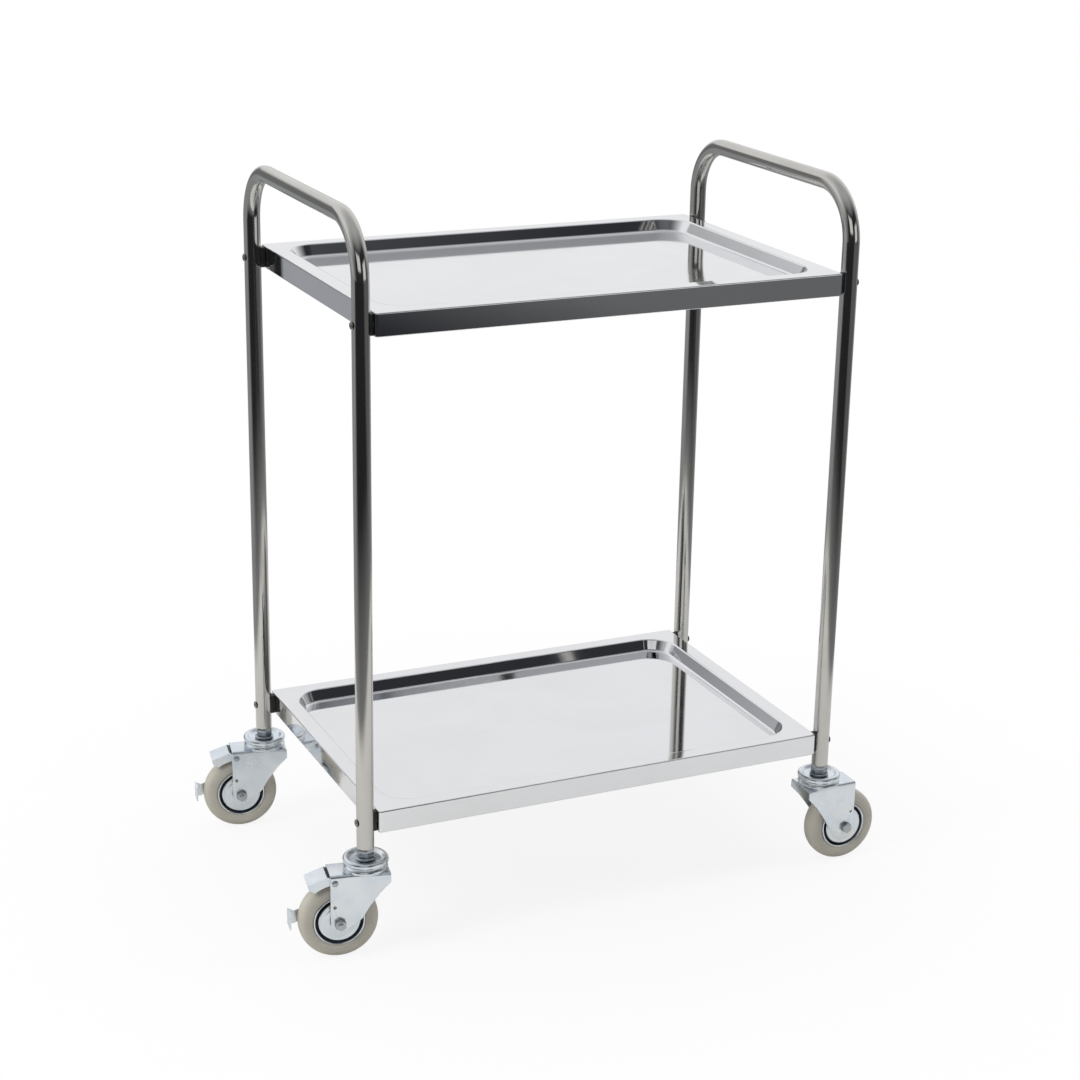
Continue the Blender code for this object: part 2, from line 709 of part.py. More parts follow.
def thread_guard(name, parent, side):
    """A dished zinc disc that closes one side of the wheel's centre."""
    inside = HUB_HALF_LENGTH + GAP
    outside = inside + GUARD_SHEET
    profile = [
        (GUARD_BORE_RADIUS, outside + GUARD_DISH),
        (GUARD_RADIUS * 0.62, outside + GUARD_DISH),
        (GUARD_RADIUS * 0.86, outside + GUARD_DISH * 0.55),
        (GUARD_RADIUS, outside - GUARD_DISH),
        (GUARD_RADIUS, inside - GUARD_DISH),
        (GUARD_RADIUS * 0.84, inside + GUARD_DISH * 0.45),
        (GUARD_RADIUS * 0.60, inside + GUARD_DISH * 0.9),
        (GUARD_BORE_RADIUS, inside + GUARD_DISH * 0.9),
    ]
    disc = turned_mesh(profile, ROUND_STEPS, closed=True)
    turn = (math.radians(-90 * side), 0, 0)
    item = place(name, disc, ZINC, parent, rotation=turn)
    smooth(item, 35)
    return item


def brake_pad_line(radius):
    """An arc over the tread, in the lever's own X and Z, about the wheel's axle."""
    line = []
    span = BRAKE_PAD_TO_DEG - BRAKE_PAD_FROM_DEG
    for step in range(BRAKE_PAD_STEPS + 1):
        turn = math.radians(BRAKE_PAD_FROM_DEG + span * step / BRAKE_PAD_STEPS)
        line.append(
            (
                TRAIL - BRAKE_PIVOT_X + radius * math.cos(turn),
                WHEEL_RADIUS - BRAKE_PIVOT_Z + radius * math.sin(turn),
            )
        )
    return line


def ear_arc(start, stop, steps=6):
    line = []
    for step in range(steps + 1):
        turn = math.radians(start + (stop - start) * step / steps)
        line.append((BRAKE_EAR_RADIUS * math.cos(turn), BRAKE_EAR_RADIUS * math.sin(turn)))
    return line


def from_axle(points):
    """Points measured from the wheel's axle, in the lever's own X and Z."""
    across, down = TRAIL - BRAKE_PIVOT_X, WHEEL_RADIUS - BRAKE_PIVOT_Z
    return [(x + across, z + down) for x, z in points]


def brake_lever(name, parent):
    """One pressing: a pad over the tread, two ears on the pin, a side arm and a foot tab."""
    inner = WHEEL_RADIUS + BRAKE_TREAD_GAP
    half = FORK_INNER_HALF_WIDTH - BRAKE_SIDE_CLEARANCE
    outer_line = brake_pad_line(inner + BRAKE_SHEET)
    inner_line = brake_pad_line(inner)
    plate = list(BRAKE_PLATE)
    body = outline_mesh(ear_arc(80, 280) + inner_line + list(reversed(plate)), 2 * half)
    sheet = BRAKE_SHEET
    start_x = outer_line[0][0]
    open_x = start_x + sheet
    far = BRAKE_TAB_X * 2
    hollow = [(start_x, -far), (-far, -far), (-far, far), (open_x, far)]
    hollow += [(open_x, plate[0][1] - sheet * 1.2)]
    hollow += [(plate[1][0] - sheet, plate[1][1] - sheet)]
    hollow += [(plate[2][0] - sheet, plate[2][1] + sheet)]
    hollow += list(reversed(outer_line))
    tab_x = BRAKE_TAB_X - BRAKE_PIVOT_X
    tab_top = WHEEL_RADIUS - BRAKE_PIVOT_Z + BRAKE_TAB_ABOVE_AXLE
    tab_bottom = WHEEL_RADIUS - BRAKE_PIVOT_Z - BRAKE_TAB_BELOW_AXLE
    sunk = sheet / 8
    end_x = tab_x + sheet + sunk
    bend_x = tab_x - sheet * 3
    side = from_axle(BRAKE_ARM_LOWER) + [(bend_x, tab_bottom - sunk)]
    side += [(end_x, tab_bottom - sunk), (end_x, tab_top + sunk), (bend_x, tab_top - sheet * 2)]
    side += from_axle(BRAKE_ARM_UPPER) + [BRAKE_ARM_TOP]
    arm = outline_mesh(ear_arc(100, 250) + side, sheet - 2 * sunk)
    arm.transform(Matrix.Translation((0, -half + sheet / 2, 0)))
    tab_low = Vector((tab_x, -half + sunk * 2, tab_bottom))
    tab_high = Vector((tab_x + sheet, -half + BRAKE_TAB_WIDTH, tab_top))
    size = tab_high - tab_low
    shape = Matrix.Translation((tab_low + tab_high) / 2) @ Matrix.Diagonal((*size, 1.0))
    tab = mesh_from(lambda work: bmesh.ops.create_cube(work, size=1.0, matrix=shape))
    item = bpy.data.objects.new("lever", body)
    guides.objects.link(item)
    inside = 2 * (half - sheet)
    cut(item, cutter(outline_mesh(hollow, inside)))
    cut(item, cutter(arm), cutter(tab), operation="UNION")
    cut(item, cylinder_cutter(BRAKE_PIN_RADIUS + GAP, (0, 0, 0), (0, 1, 0), half * 3))
    return place(name, baked(item), ZINC, parent)


def brake_pin(name, parent):
    """The rivet that the lever turns on, headed outside both legs."""
    outer = FORK_OUTER_HALF_WIDTH + GAP
    profile = [
        (0.0, outer + BRAKE_PIN_HEAD),
        (BRAKE_PIN_HEAD_RADIUS, outer + BRAKE_PIN_HEAD * 0.5),
        (BRAKE_PIN_HEAD_RADIUS, outer),
        (BRAKE_PIN_RADIUS, outer),
        (BRAKE_PIN_RADIUS, -outer),
        (BRAKE_PIN_HEAD_RADIUS, -outer),
        (BRAKE_PIN_HEAD_RADIUS, -outer - BRAKE_PIN_HEAD * 0.5),
        (0.0, -outer - BRAKE_PIN_HEAD),
    ]
    turn = (math.radians(-90), 0, 0)
    item = place(
        name,
        turned_mesh(profile, SMALL_STEPS),
        ZINC,
        parent,
        (BRAKE_PIVOT_X, 0, BRAKE_PIVOT_Z),
        turn,
    )
    smooth(item)
    return item


def guide(name, parent, location, turn=0.0):
    item = bpy.data.objects.new(name, None)
    parts.objects.link(item)
    item.parent = parent
    item.location = location
    item.rotation_euler = (0, 0, math.radians(turn))
    return item


def castor(place_name, side, row, trail_angle, braked):
    """One castor: stem, nut and cap fixed to the post, and the fork and wheel that turn."""
    head = guide(f"{place_name}_head", None, (side * POST_X, row * POST_Y, 0))
    swivel = guide(f"{place_name}_swivel", head, (0, 0, 0), trail_angle)
    wheel = guide(f"{place_name}_wheel_axis", swivel, (TRAIL, 0, WHEEL_RADIUS))
    castor_stem(f"{place_name}_stem", head)
    swivel_cap(f"{place_name}_swivel_cap", head)
    fork(f"{place_name}_fork", swivel, braked)
    axle_bolt(f"{place_name}_axle_bolt", swivel)
    axle_nut(f"{place_name}_axle_nut", swivel)
    tyre(f"{place_name}_tyre", wheel)
    wheel_core(f"{place_name}_wheel_core", wheel)
    thread_guard(f"{place_name}_nut_side_guard", wheel, 1)
    thread_guard(f"{place_name}_head_side_guard", wheel, -1)
    if braked:
        pivot = guide(f"{place_name}_brake_axis", swivel, (BRAKE_PIVOT_X, 0, BRAKE_PIVOT_Z))
        brake_lever(f"{place_name}_brake_lever", pivot)
        brake_pin(f"{place_name}_brake_pin", swivel)


clear_scene()
parts = new_collection("dressing_trolley")
cutters = new_collection("cutters")
guides = new_collection("guides")

end_frame("left_end_frame", -1)
end_frame("right_end_frame", 1)
for level, top in (("lower", LOWER_TRAY_TOP_Z), ("upper", UPPER_TRAY_TOP_Z)):
    pressed_tray(f"{level}_tray", top)
    tray_spacers(level, top)
    tray_bolts(level, top)
for castor_name, (x_side, y_side, angle, has_brake) in CASTORS.items():
    castor(castor_name, x_side, y_side, angle, has_brake)
bpy.context.view_layer.update()
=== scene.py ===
# %% [markdown]
# # A dressing trolley in polished steel
#
# This lesson dresses a two-tray ward trolley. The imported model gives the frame: every body,
# joint and node, in metres, with +Z up and the trolley's front towards -Y. The end frames,
# trays and castors are modelled again with the fine shapes that a plain solid leaves out,
# such as rolled edges and pressed rings. Each new piece rides on the body of the real one.

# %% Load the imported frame
import math

import bmesh
import bpy
from mathutils import Matrix, Vector


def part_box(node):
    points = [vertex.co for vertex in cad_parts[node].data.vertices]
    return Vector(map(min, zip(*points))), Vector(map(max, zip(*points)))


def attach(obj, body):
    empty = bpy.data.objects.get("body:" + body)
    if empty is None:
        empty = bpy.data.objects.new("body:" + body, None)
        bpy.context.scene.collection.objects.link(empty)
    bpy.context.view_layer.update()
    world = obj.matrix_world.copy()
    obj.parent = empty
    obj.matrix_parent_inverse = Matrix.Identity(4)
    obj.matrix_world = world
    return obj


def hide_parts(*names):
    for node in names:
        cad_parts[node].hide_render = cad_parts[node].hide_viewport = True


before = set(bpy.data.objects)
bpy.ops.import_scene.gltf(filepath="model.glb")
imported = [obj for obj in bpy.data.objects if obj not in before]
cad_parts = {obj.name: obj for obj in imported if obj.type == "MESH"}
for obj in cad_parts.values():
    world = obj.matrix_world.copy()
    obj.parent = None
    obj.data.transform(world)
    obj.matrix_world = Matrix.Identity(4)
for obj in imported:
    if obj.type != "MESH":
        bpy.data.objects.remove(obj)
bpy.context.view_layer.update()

# %% [markdown]
# ## The camera
#
# The picture was taken from about 2.9 m away, with the lens at 1.43 m, looking down by about
# 19 degrees and to the right by 25. A matrix is built from the three view directions, because
# the small roll of the real camera is easy to add that way.

# %% Camera
VIEW_YAW = math.radians(24.831)
VIEW_PITCH = math.radians(18.770)
VIEW_ROLL = math.radians(0.9975)
VIEW_PLACE = Vector((-1.22378, -2.64003, 1.43320))
LENS_MM = 76.245

forward = Vector(
    (
        math.sin(VIEW_YAW) * math.cos(VIEW_PITCH),
        math.cos(VIEW_YAW) * math.cos(VIEW_PITCH),
        -math.sin(VIEW_PITCH),
    )
)
level_right = Vector((math.cos(VIEW_YAW), -math.sin(VIEW_YAW), 0.0))
level_up = level_right.cross(forward)
right = level_right * math.cos(VIEW_ROLL) + level_up * math.sin(VIEW_ROLL)
up = right.cross(forward)
camera_data = bpy.data.cameras.new("studio_camera")
camera_data.lens = LENS_MM
camera_data.sensor_width = 36.0
camera = bpy.data.objects.new("studio_camera", camera_data)
camera.matrix_world = Matrix(
    (
        (right.x, up.x, -forward.x, VIEW_PLACE.x),
        (right.y, up.y, -forward.y, VIEW_PLACE.y),
        (right.z, up.z, -forward.z, VIEW_PLACE.z),
        (0.0, 0.0, 0.0, 1.0),
    )
)
bpy.context.scene.collection.objects.link(camera)
bpy.context.scene.camera = camera
bpy.context.scene.view_settings.view_transform = "Standard"
print("camera at", tuple(round(v, 3) for v in camera.location))

# %% [markdown]
# ## Sizes
#
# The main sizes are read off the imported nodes, so that each new piece lies exactly where its
# solid lies. Only the finer sizes are written here. Points closer than `TOUCHING` are merged,
# and points whose heights differ by less than `LEVEL` lie at one height.

# %% Sizes
MM = 0.001
TOUCHING = 1e-6
LEVEL = 1e-7
LEVELS = ("lower", "upper")
CORNERS = ("front_left", "back_left", "front_right", "back_right")

tube_low, tube_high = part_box("right_end_frame")
TUBE_RADIUS = (tube_high.x - tube_low.x) / 2
swivel_low, swivel_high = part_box("back_right_swivel_cap")
POST_X = (swivel_low.x + swivel_high.x) / 2
POST_Y = (swivel_low.y + swivel_high.y) / 2
POST_FOOT_Z = tube_low.z
HANDLE_Z = tube_high.z - TUBE_RADIUS
HANDLE_BEND = 70 * MM
tyre_low, tyre_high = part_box("back_right_tyre")
WHEEL_RADIUS = (tyre_high.z - tyre_low.z) / 2
TRAIL = 36 * MM
print("tube", round(TUBE_RADIUS * 2, 4), "post x", round(POST_X, 4), "y", round(POST_Y, 4))

# %% [markdown]
# ## Helpers for every piece
#
# `shape_to_piece` turns a finished bmesh into an object at the origin. It merges doubles,
# points the faces outwards, sets smooth shading with sharp creases, gives the piece the material
# of its finish, and hangs it on its body. The open edge of a sheet is sharp too, because its
# thickness starts there.

# %% Piece helper
CREASE = math.radians(32)
made = []


def shape_to_piece(name, shape, body, finish, stands_for=(), crease=CREASE):
    """A named piece from a bmesh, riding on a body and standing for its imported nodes."""
    material, slot = finish
    bmesh.ops.remove_doubles(shape, verts=shape.verts, dist=TOUCHING)
    bmesh.ops.recalc_face_normals(shape, faces=shape.faces)
    shape.edges.index_update()
    open_edges = [edge.index for edge in shape.edges if edge.is_boundary]
    mesh = bpy.data.meshes.new(name)
    shape.to_mesh(mesh)
    shape.free()
    piece = bpy.data.objects.new(name, mesh)
    bpy.context.scene.collection.objects.link(piece)
    mesh.materials.append(material)
    mesh.shade_smooth()
    mesh.set_sharp_from_angle(angle=crease)
    for index in open_edges:
        mesh.edges[index].use_edge_sharp = True
    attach(piece, body)
    if stands_for:
        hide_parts(*stands_for)
    made.append(piece)
    return piece


def soften(piece, width):
    """Round the hard edges of a piece with a live Bevel."""
    bevel = piece.modifiers.new("soft_edges", "BEVEL")
    bevel.width = width
    bevel.segments = 2
    bevel.limit_method = "ANGLE"
    bevel.angle_limit = CREASE


def give_wall(piece, thickness):
    """Thicken a sheet inwards from the surface that was drawn."""
    wall = piece.modifiers.new("sheet", "SOLIDIFY")
    wall.thickness = thickness
    wall.offset = -1
    wall.use_even_offset = True


def even_normals(piece):
    """Let the large faces set the shading, so that reflections in them stay straight."""
    weighted = piece.modifiers.new("even_normals", "WEIGHTED_NORMAL")
    weighted.keep_sharp = True


# %% [markdown]
# ## Turned shapes
#
# Most castor pieces are turned on a lathe or pressed round. A profile of a few vertices in the
# XZ plane is spun once about Z. The full spin merges its ends, and the copies of a point on the
# axis are merged after it. Nuts and bolt heads are short hexagon prisms with chamfered ends.

# %% Lathe helper
def turned(shape, profile, steps=48, closed=False):
    """Spin a profile of (radius, height) points about Z, inside an open bmesh."""
    points = [shape.verts.new((radius, 0.0, height)) for radius, height in profile]
    edges = [shape.edges.new(pair) for pair in zip(points, points[1:])]
    if closed:
        edges.append(shape.edges.new((points[-1], points[0])))
    bmesh.ops.spin(
        shape, geom=points + edges, cent=(0, 0, 0), axis=(0, 0, 1), angle=math.tau, steps=steps,
        use_merge=True,
    )
    bmesh.ops.remove_doubles(shape, verts=shape.verts, dist=TOUCHING)
    return shape


def mm_points(points, base=0.0):
    """Points (radius, height) in millimetres, as metres above a base height."""
    return [(radius * MM, base + height * MM) for radius, height in points]


def mirrored(half):
    """A profile and its mirror image below, from the upper half."""
    return half + [(radius, -height) for radius, height in reversed(half)]


def is_level(edge):
    return abs(edge.verts[0].co.z - edge.verts[1].co.z) < LEVEL


def hexagon(shape, across_flats, low, high, chamfer):
    """A hexagon nut standing on Z, with its top and bottom edges chamfered."""
    radius = across_flats / 2 / math.cos(math.pi / 6)
    middle = Matrix.Translation((0, 0, (low + high) / 2))
    nut = bmesh.ops.create_cone(
        shape, cap_ends=True, segments=6, radius1=radius, radius2=radius,
        depth=high - low, matrix=middle,
    )
    corners = set(nut["verts"])
    rims = [edge for edge in shape.edges if corners.issuperset(edge.verts) and is_level(edge)]
    bmesh.ops.bevel(
        shape, geom=rims, offset=chamfer, segments=2, profile=0.5, affect="EDGES", material=-1
    )


# %% [markdown]
# ## Shared surface effects
#
# No real steel is a perfect mirror. Wiping leaves faint smears that change the roughness, and
# polishing leaves very fine lines. Both are node groups, so that every metal in the scene can
# use them at its own strength.

# %% Node helpers
def add_node(tree, kind, place=(0, 0), **settings):
    node = tree.nodes.new(kind)
    node.location = place
    for key, value in settings.items():
        setattr(node, key, value)
    return node


def new_group(name, inputs, outputs):
    """An empty shader node group with named inputs and outputs."""
    tree = bpy.data.node_groups.new(name, "ShaderNodeTree")
    for label, kind, value in inputs:
        socket = tree.interface.new_socket(name=label, in_out="INPUT", socket_type=kind)
        if value is not None:
            socket.default_value = value
    for label, kind in outputs:
        tree.interface.new_socket(name=label, in_out="OUTPUT", socket_type=kind)
    start = add_node(tree, "NodeGroupInput", (-900, 0))
    end = add_node(tree, "NodeGroupOutput", (700, 0))
    return tree, start, end


def noise(tree, vector, scale, detail, roughness, distortion, place):
    node = add_node(tree, "ShaderNodeTexNoise", place)
    node.inputs["Scale"].default_value = scale
    node.inputs["Detail"].default_value = detail
    node.inputs["Roughness"].default_value = roughness
    node.inputs["Distortion"].default_value = distortion
    tree.links.new(vector, node.inputs["Vector"])
    return node.outputs["Fac"]


def remap(tree, value, low, high, place, to_low=0.0, to_high=1.0):
    """Stretch a value from one range to another. Either new end may be a socket."""
    node = add_node(tree, "ShaderNodeMapRange", place)
    node.inputs["From Min"].default_value = low
    node.inputs["From Max"].default_value = high
    tree.links.new(value, node.inputs["Value"])
    for socket, end in (("To Min", to_low), ("To Max", to_high)):
        if isinstance(end, bpy.types.NodeSocket):
            tree.links.new(end, node.inputs[socket])
        else:
            node.inputs[socket].default_value = end
    return node.outputs["Result"]


def blend_colour(tree, factor, first, second, place):
    """Mix two colours, each one given as three numbers or as a socket."""
    node = add_node(tree, "ShaderNodeMix", place, data_type="RGBA")
    sockets = {s.identifier: s for s in node.inputs}
    tree.links.new(factor, sockets["Factor_Float"])
    for key, colour in (("A_Color", first), ("B_Color", second)):
        if isinstance(colour, bpy.types.NodeSocket):
            tree.links.new(colour, sockets[key])
        else:
            sockets[key].default_value = (*colour, 1.0)
    return {s.identifier: s for s in node.outputs}["Result_Color"]


def combine(tree, operation, first, second, place):
    node = add_node(tree, "ShaderNodeMath", place, operation=operation)
    tree.links.new(first, node.inputs[0])
    tree.links.new(second, node.inputs[1])
    return node.outputs["Value"]


# %% Wiping marks group
def build_wiping_marks():
    """Smears from wiping and handling: a roughness, a mask and a height for a slight wave."""
    tree, start, end = new_group(
        "wiping_marks",
        (
            ("Vector", "NodeSocketVector", None),
            ("Clean Roughness", "NodeSocketFloat", 0.08),
            ("Smeared Roughness", "NodeSocketFloat", 0.18),
        ),
        (
            ("Roughness", "NodeSocketFloat"),
            ("Mask", "NodeSocketFloat"),
            ("Wave", "NodeSocketFloat"),
        ),
    )
    vector = start.outputs["Vector"]
    broad = noise(tree, vector, 7.0, 4.0, 0.6, 0.6, (-600, 200))
    fine = noise(tree, vector, 60.0, 3.0, 0.6, 0.0, (-600, -50))
    mask = remap(tree, broad, 0.42, 0.68, (-300, 200))
    fine_mask = remap(tree, fine, 0.35, 0.7, (-300, -50), to_low=0.75)
    smears = combine(tree, "MULTIPLY", mask, fine_mask, (-50, 100))
    clean, smeared = start.outputs["Clean Roughness"], start.outputs["Smeared Roughness"]
    rough = remap(tree, smears, 0.0, 1.0, (250, 150), clean, smeared)
    wave = noise(tree, vector, 3.2, 1.0, 0.4, 0.0, (-600, -300))
    tree.links.new(rough, end.inputs["Roughness"])
    tree.links.new(smears, end.inputs["Mask"])
    tree.links.new(wave, end.inputs["Wave"])
    return tree


# %% Polishing lines group
def build_polishing_lines():
    """Very fine parallel lines left by a polishing belt, stretched along one axis."""
    tree, start, end = new_group(
        "polishing_lines",
        (("Vector", "NodeSocketVector", None), ("Stretch", "NodeSocketVector", (1.0, 1.0, 0.02))),
        (("Height", "NodeSocketFloat"),),
    )
    stretch = add_node(tree, "ShaderNodeVectorMath", (-600, 0), operation="MULTIPLY")
    tree.links.new(start.outputs["Vector"], stretch.inputs[0])
    tree.links.new(start.outputs["Stretch"], stretch.inputs[1])
    lines = noise(tree, stretch.outputs["Vector"], 900.0, 2.0, 0.5, 0.0, (-300, 0))
    tree.links.new(lines, end.inputs["Height"])
    return tree


wiping_marks = build_wiping_marks()
polishing_lines = build_polishing_lines()
print("groups:", wiping_marks.name, polishing_lines.name)


# %% Material helper
def plain_shader(name):
    """A new material with its tree, its Principled shader and its Object coordinates."""
    material = bpy.data.materials.new(name)
    material.use_nodes = True
    tree = material.node_tree
    shader = tree.nodes["Principled BSDF"]
    coordinates = add_node(tree, "ShaderNodeTexCoord", (-1300, 0))
    return material, tree, shader, coordinates.outputs["Object"]


def place_group(tree, group, vector, place, **values):
    node = add_node(tree, "ShaderNodeGroup", place, node_tree=group)
    tree.links.new(vector, node.inputs["Vector"])
    for label, value in values.items():
        node.inputs[label.replace("_", " ")].default_value = value
    return node


def bump_from(tree, shader, height, distance, strength, place=(-200, -400), under=None):
    """A Bump into the shader's Normal, on top of the bump that lies under it."""
    bump = add_node(tree, "ShaderNodeBump", place)
    bump.inputs["Distance"].default_value = distance
    bump.inputs["Strength"].default_value = strength
    tree.links.new(height, bump.inputs["Height"])
    if under:
        tree.links.new(under, bump.inputs["Normal"])
    tree.links.new(bump.outputs["Normal"], shader.inputs["Normal"])
    return bump.outputs["Normal"]


# %% [markdown]
# ## Polished steel
#
# The tubes and trays are bright stainless steel. A metallic Principled shader with a low
# roughness does most of the work. The tubes carry belt lines along their length. The trays
# were pressed, so their sheet is slightly wavy, which bends the reflections in the pan. The
# tray bolts are a duller steel, whose dark colour is painted shade and painted dark reflection.

# %% Polished steel
WAVE_STRENGTH = 0.35
LINE_HEIGHT = 0.02 * MM
LINE_STRENGTH = 0.15


def polished_steel(name, colours, stretch, clean, smeared, wave_height):
    """A steel with a clean and a smeared colour and roughness. Stretch sets the line axis."""
    material, tree, shader, vector = plain_shader(name)
    marks = place_group(
        tree, wiping_marks, vector, (-900, 100),
        Clean_Roughness=clean, Smeared_Roughness=smeared,
    )
    lines = place_group(tree, polishing_lines, vector, (-900, -300), Stretch=stretch)
    colour = blend_colour(tree, marks.outputs["Mask"], *colours, (-400, 300))
    tree.links.new(colour, shader.inputs["Base Color"])
    tree.links.new(marks.outputs["Roughness"], shader.inputs["Roughness"])
    shader.inputs["Metallic"].default_value = 1.0
    wave = marks.outputs["Wave"]
    waves = bump_from(tree, shader, wave, wave_height, WAVE_STRENGTH, (-500, -500))
    height = lines.outputs["Height"]
    bump_from(tree, shader, height, LINE_HEIGHT, LINE_STRENGTH, (-200, -400), waves)
    return material


TUBE_COLOURS = (0.56, 0.55, 0.52), (0.50, 0.49, 0.46)
SHEET_COLOURS = (0.78, 0.785, 0.80), (0.75, 0.755, 0.765)
# The bolt colours are painted shade: dark steel for the shadow and dark reflection on the heads.
BOLT_SHADED_COLOURS = (0.30, 0.30, 0.29), (0.24, 0.24, 0.23)
tube_steel = polished_steel(
    "polished_steel_tube", TUBE_COLOURS, (1.0, 1.0, 0.02), 0.09, 0.15, 0.2 * MM
)
tray_steel = polished_steel(
    "polished_steel_sheet", SHEET_COLOURS, (0.02, 1.0, 1.0), 0.05, 0.09, 0.5 * MM
)
shaded_bolt_steel = polished_steel(
    "dull_steel_bolt_painted_shade", BOLT_SHADED_COLOURS, (1.0, 1.0, 1.0), 0.30, 0.40, 0.1 * MM
)
print("steel:", tube_steel.name, tray_steel.name, shaded_bolt_steel.name)

# %% [markdown]
# ## Zinc plate
#
# The castors are pressed steel with bright zinc plate, which looks blue-white with faint warm
# patches where the coat is thicker. Two noises mix three close colours, and the roughness is
# higher than on the polished steel. The nuts, bolts and rivet have the same plate, darkened as
# painted shade.

# %% Zinc plate
ZINC_COLOURS = (0.78, 0.83, 0.86), (0.70, 0.76, 0.82), (0.82, 0.80, 0.77)
# The nuts, bolts and rivet take the zinc colours darkened by this factor, as painted shade.
FIXING_PAINTED_SHADE = 0.6


def zinc_plate(name, rough_low, rough_high, shade=1.0):
    """A plate of three close colours, darkened as painted shade on the nuts and bolts."""
    material, tree, shader, vector = plain_shader(name)
    marks = place_group(
        tree, wiping_marks, vector, (-900, 100),
        Clean_Roughness=rough_low, Smeared_Roughness=rough_high,
    )
    cool = noise(tree, vector, 38.0, 2.0, 0.5, 0.4, (-900, 500))
    warm = noise(tree, vector, 22.0, 2.0, 0.5, 1.2, (-900, 750))
    cool_mask = remap(tree, cool, 0.38, 0.62, (-650, 500))
    warm_mask = remap(tree, warm, 0.50, 0.72, (-650, 750), to_high=0.6)
    bright, blue, warm_white = (
        tuple(shade * value for value in colour) for colour in ZINC_COLOURS
    )
    base = blend_colour(tree, cool_mask, bright, blue, (-400, 500))
    colour = blend_colour(tree, warm_mask, base, warm_white, (-200, 600))
    tree.links.new(colour, shader.inputs["Base Color"])
    tree.links.new(marks.outputs["Roughness"], shader.inputs["Roughness"])
    shader.inputs["Metallic"].default_value = 1.0
    grain = noise(tree, vector, 700.0, 2.0, 0.6, 0.0, (-650, -400))
    bump_from(tree, shader, grain, 0.05 * MM, 0.25)
    return material


zinc = zinc_plate("zinc_plate_pressed", 0.22, 0.34)
shaded_zinc_fixing = zinc_plate("zinc_plate_fixing_painted_shade", 0.26, 0.36, FIXING_PAINTED_SHADE)
print("zinc:", zinc.name, shaded_zinc_fixing.name)

# %% [markdown]
# ## Rubber and plastic
#
# The tyres are a warm grey rubber that doesn't mark floors. Rubber picks up dust, so a fine
# speckle and a broad stain shift its colour, and its roughness stays high. The saddle blocks
# are black plastic, and the wheel centres a dark grey one. At the end, each material is paired
# with its slot in the part's record.

# %% Rubber and plastic
SPECK_SHADE = 0.72


def moulded(name, colour, stain, rough_low, rough_high, grain_scale, grain_height):
    """Rubber or plastic: a colour that goes to a stain, with dark specks and a fine grain."""
    material, tree, shader, vector = plain_shader(name)
    broad = noise(tree, vector, 28.0, 4.0, 0.6, 0.3, (-900, 400))
    speck = noise(tree, vector, 420.0, 2.0, 0.6, 0.0, (-900, 150))
    broad_mask = remap(tree, broad, 0.35, 0.72, (-650, 400), to_high=0.8)
    speck_mask = remap(tree, speck, 0.52, 0.72, (-650, 150), to_high=0.35)
    stained = blend_colour(tree, broad_mask, colour, stain, (-400, 400))
    dark = tuple(value * SPECK_SHADE for value in colour)
    speckled = blend_colour(tree, speck_mask, stained, dark, (-200, 300))
    tree.links.new(speckled, shader.inputs["Base Color"])
    rough = remap(tree, broad, 0.3, 0.7, (-400, 0), rough_low, rough_high)
    tree.links.new(rough, shader.inputs["Roughness"])
    grain = noise(tree, vector, grain_scale, 3.0, 0.6, 0.0, (-650, -350))
    bump_from(tree, shader, grain, grain_height, 0.35)
    return material


tyre_rubber = moulded(
    "grey_tyre_rubber", (0.53, 0.50, 0.43), (0.47, 0.45, 0.395), 0.55, 0.70, 500.0, 0.1 * MM
)
block_plastic = moulded(
    "black_moulded_plastic", (0.018, 0.018, 0.019), (0.03, 0.029, 0.028), 0.4, 0.55, 800.0,
    0.05 * MM,
)
wheel_plastic = moulded(
    "dark_wheel_plastic", (0.045, 0.05, 0.055), (0.03, 0.032, 0.035), 0.4, 0.55, 600.0,
    0.05 * MM,
)
print("moulded:", tyre_rubber.name, block_plastic.name, wheel_plastic.name)

# %% Finishes
TUBE = tube_steel, "polished_steel"
SHEET = tray_steel, "polished_steel"
SHADED_BOLT = shaded_bolt_steel, "zinc_plate"
ZINC = zinc, "zinc_plate"
SHADED_FIXING = shaded_zinc_fixing, "zinc_plate"
RUBBER = tyre_rubber, "grey_rubber"
BLOCK = block_plastic, "black_plastic"
CENTRE = wheel_plastic, "wheel_core"
print("slots:", TUBE[1], ZINC[1], RUBBER[1], BLOCK[1], CENTRE[1])

# %% [markdown]
# ## End frames
#
# Each end frame is one length of 22 mm tube, bent twice to form two posts and the handle. A
# ring of vertices is pushed up the front post, spun round the first bend, pushed along the
# bar, spun round the second bend and pushed down the back post. Solidify gives the wall.

# %% End frames
RING_SIDES = 40
BEND_STEPS = 16
TUBE_WALL = 1.2 * MM
TUBE_CREASE = math.radians(60)


def edges_between(grown, points):
    """Of the things an operator made, the edges with both ends among the points."""
    ends = set(points)
    return [g for g in grown if isinstance(g, bmesh.types.BMEdge) and ends.issuperset(g.verts)]


def push(shape, ring, offset):
    """Extrude an open ring of edges and move the new ring."""
    grown = bmesh.ops.extrude_edge_only(shape, edges=ring)["geom"]
    moved = [g for g in grown if isinstance(g, bmesh.types.BMVert)]
    bmesh.ops.translate(shape, verts=moved, vec=offset)
    return edges_between(grown, moved)


def bend(shape, ring, centre, steps):
    """Spin an open ring of edges a quarter turn about an axis along X."""
    turned_ring = bmesh.ops.spin(
        shape, geom=ring, cent=centre, axis=(1, 0, 0), angle=-math.pi / 2, steps=steps,
    )["geom_last"]
    return [g for g in turned_ring if isinstance(g, bmesh.types.BMEdge)]


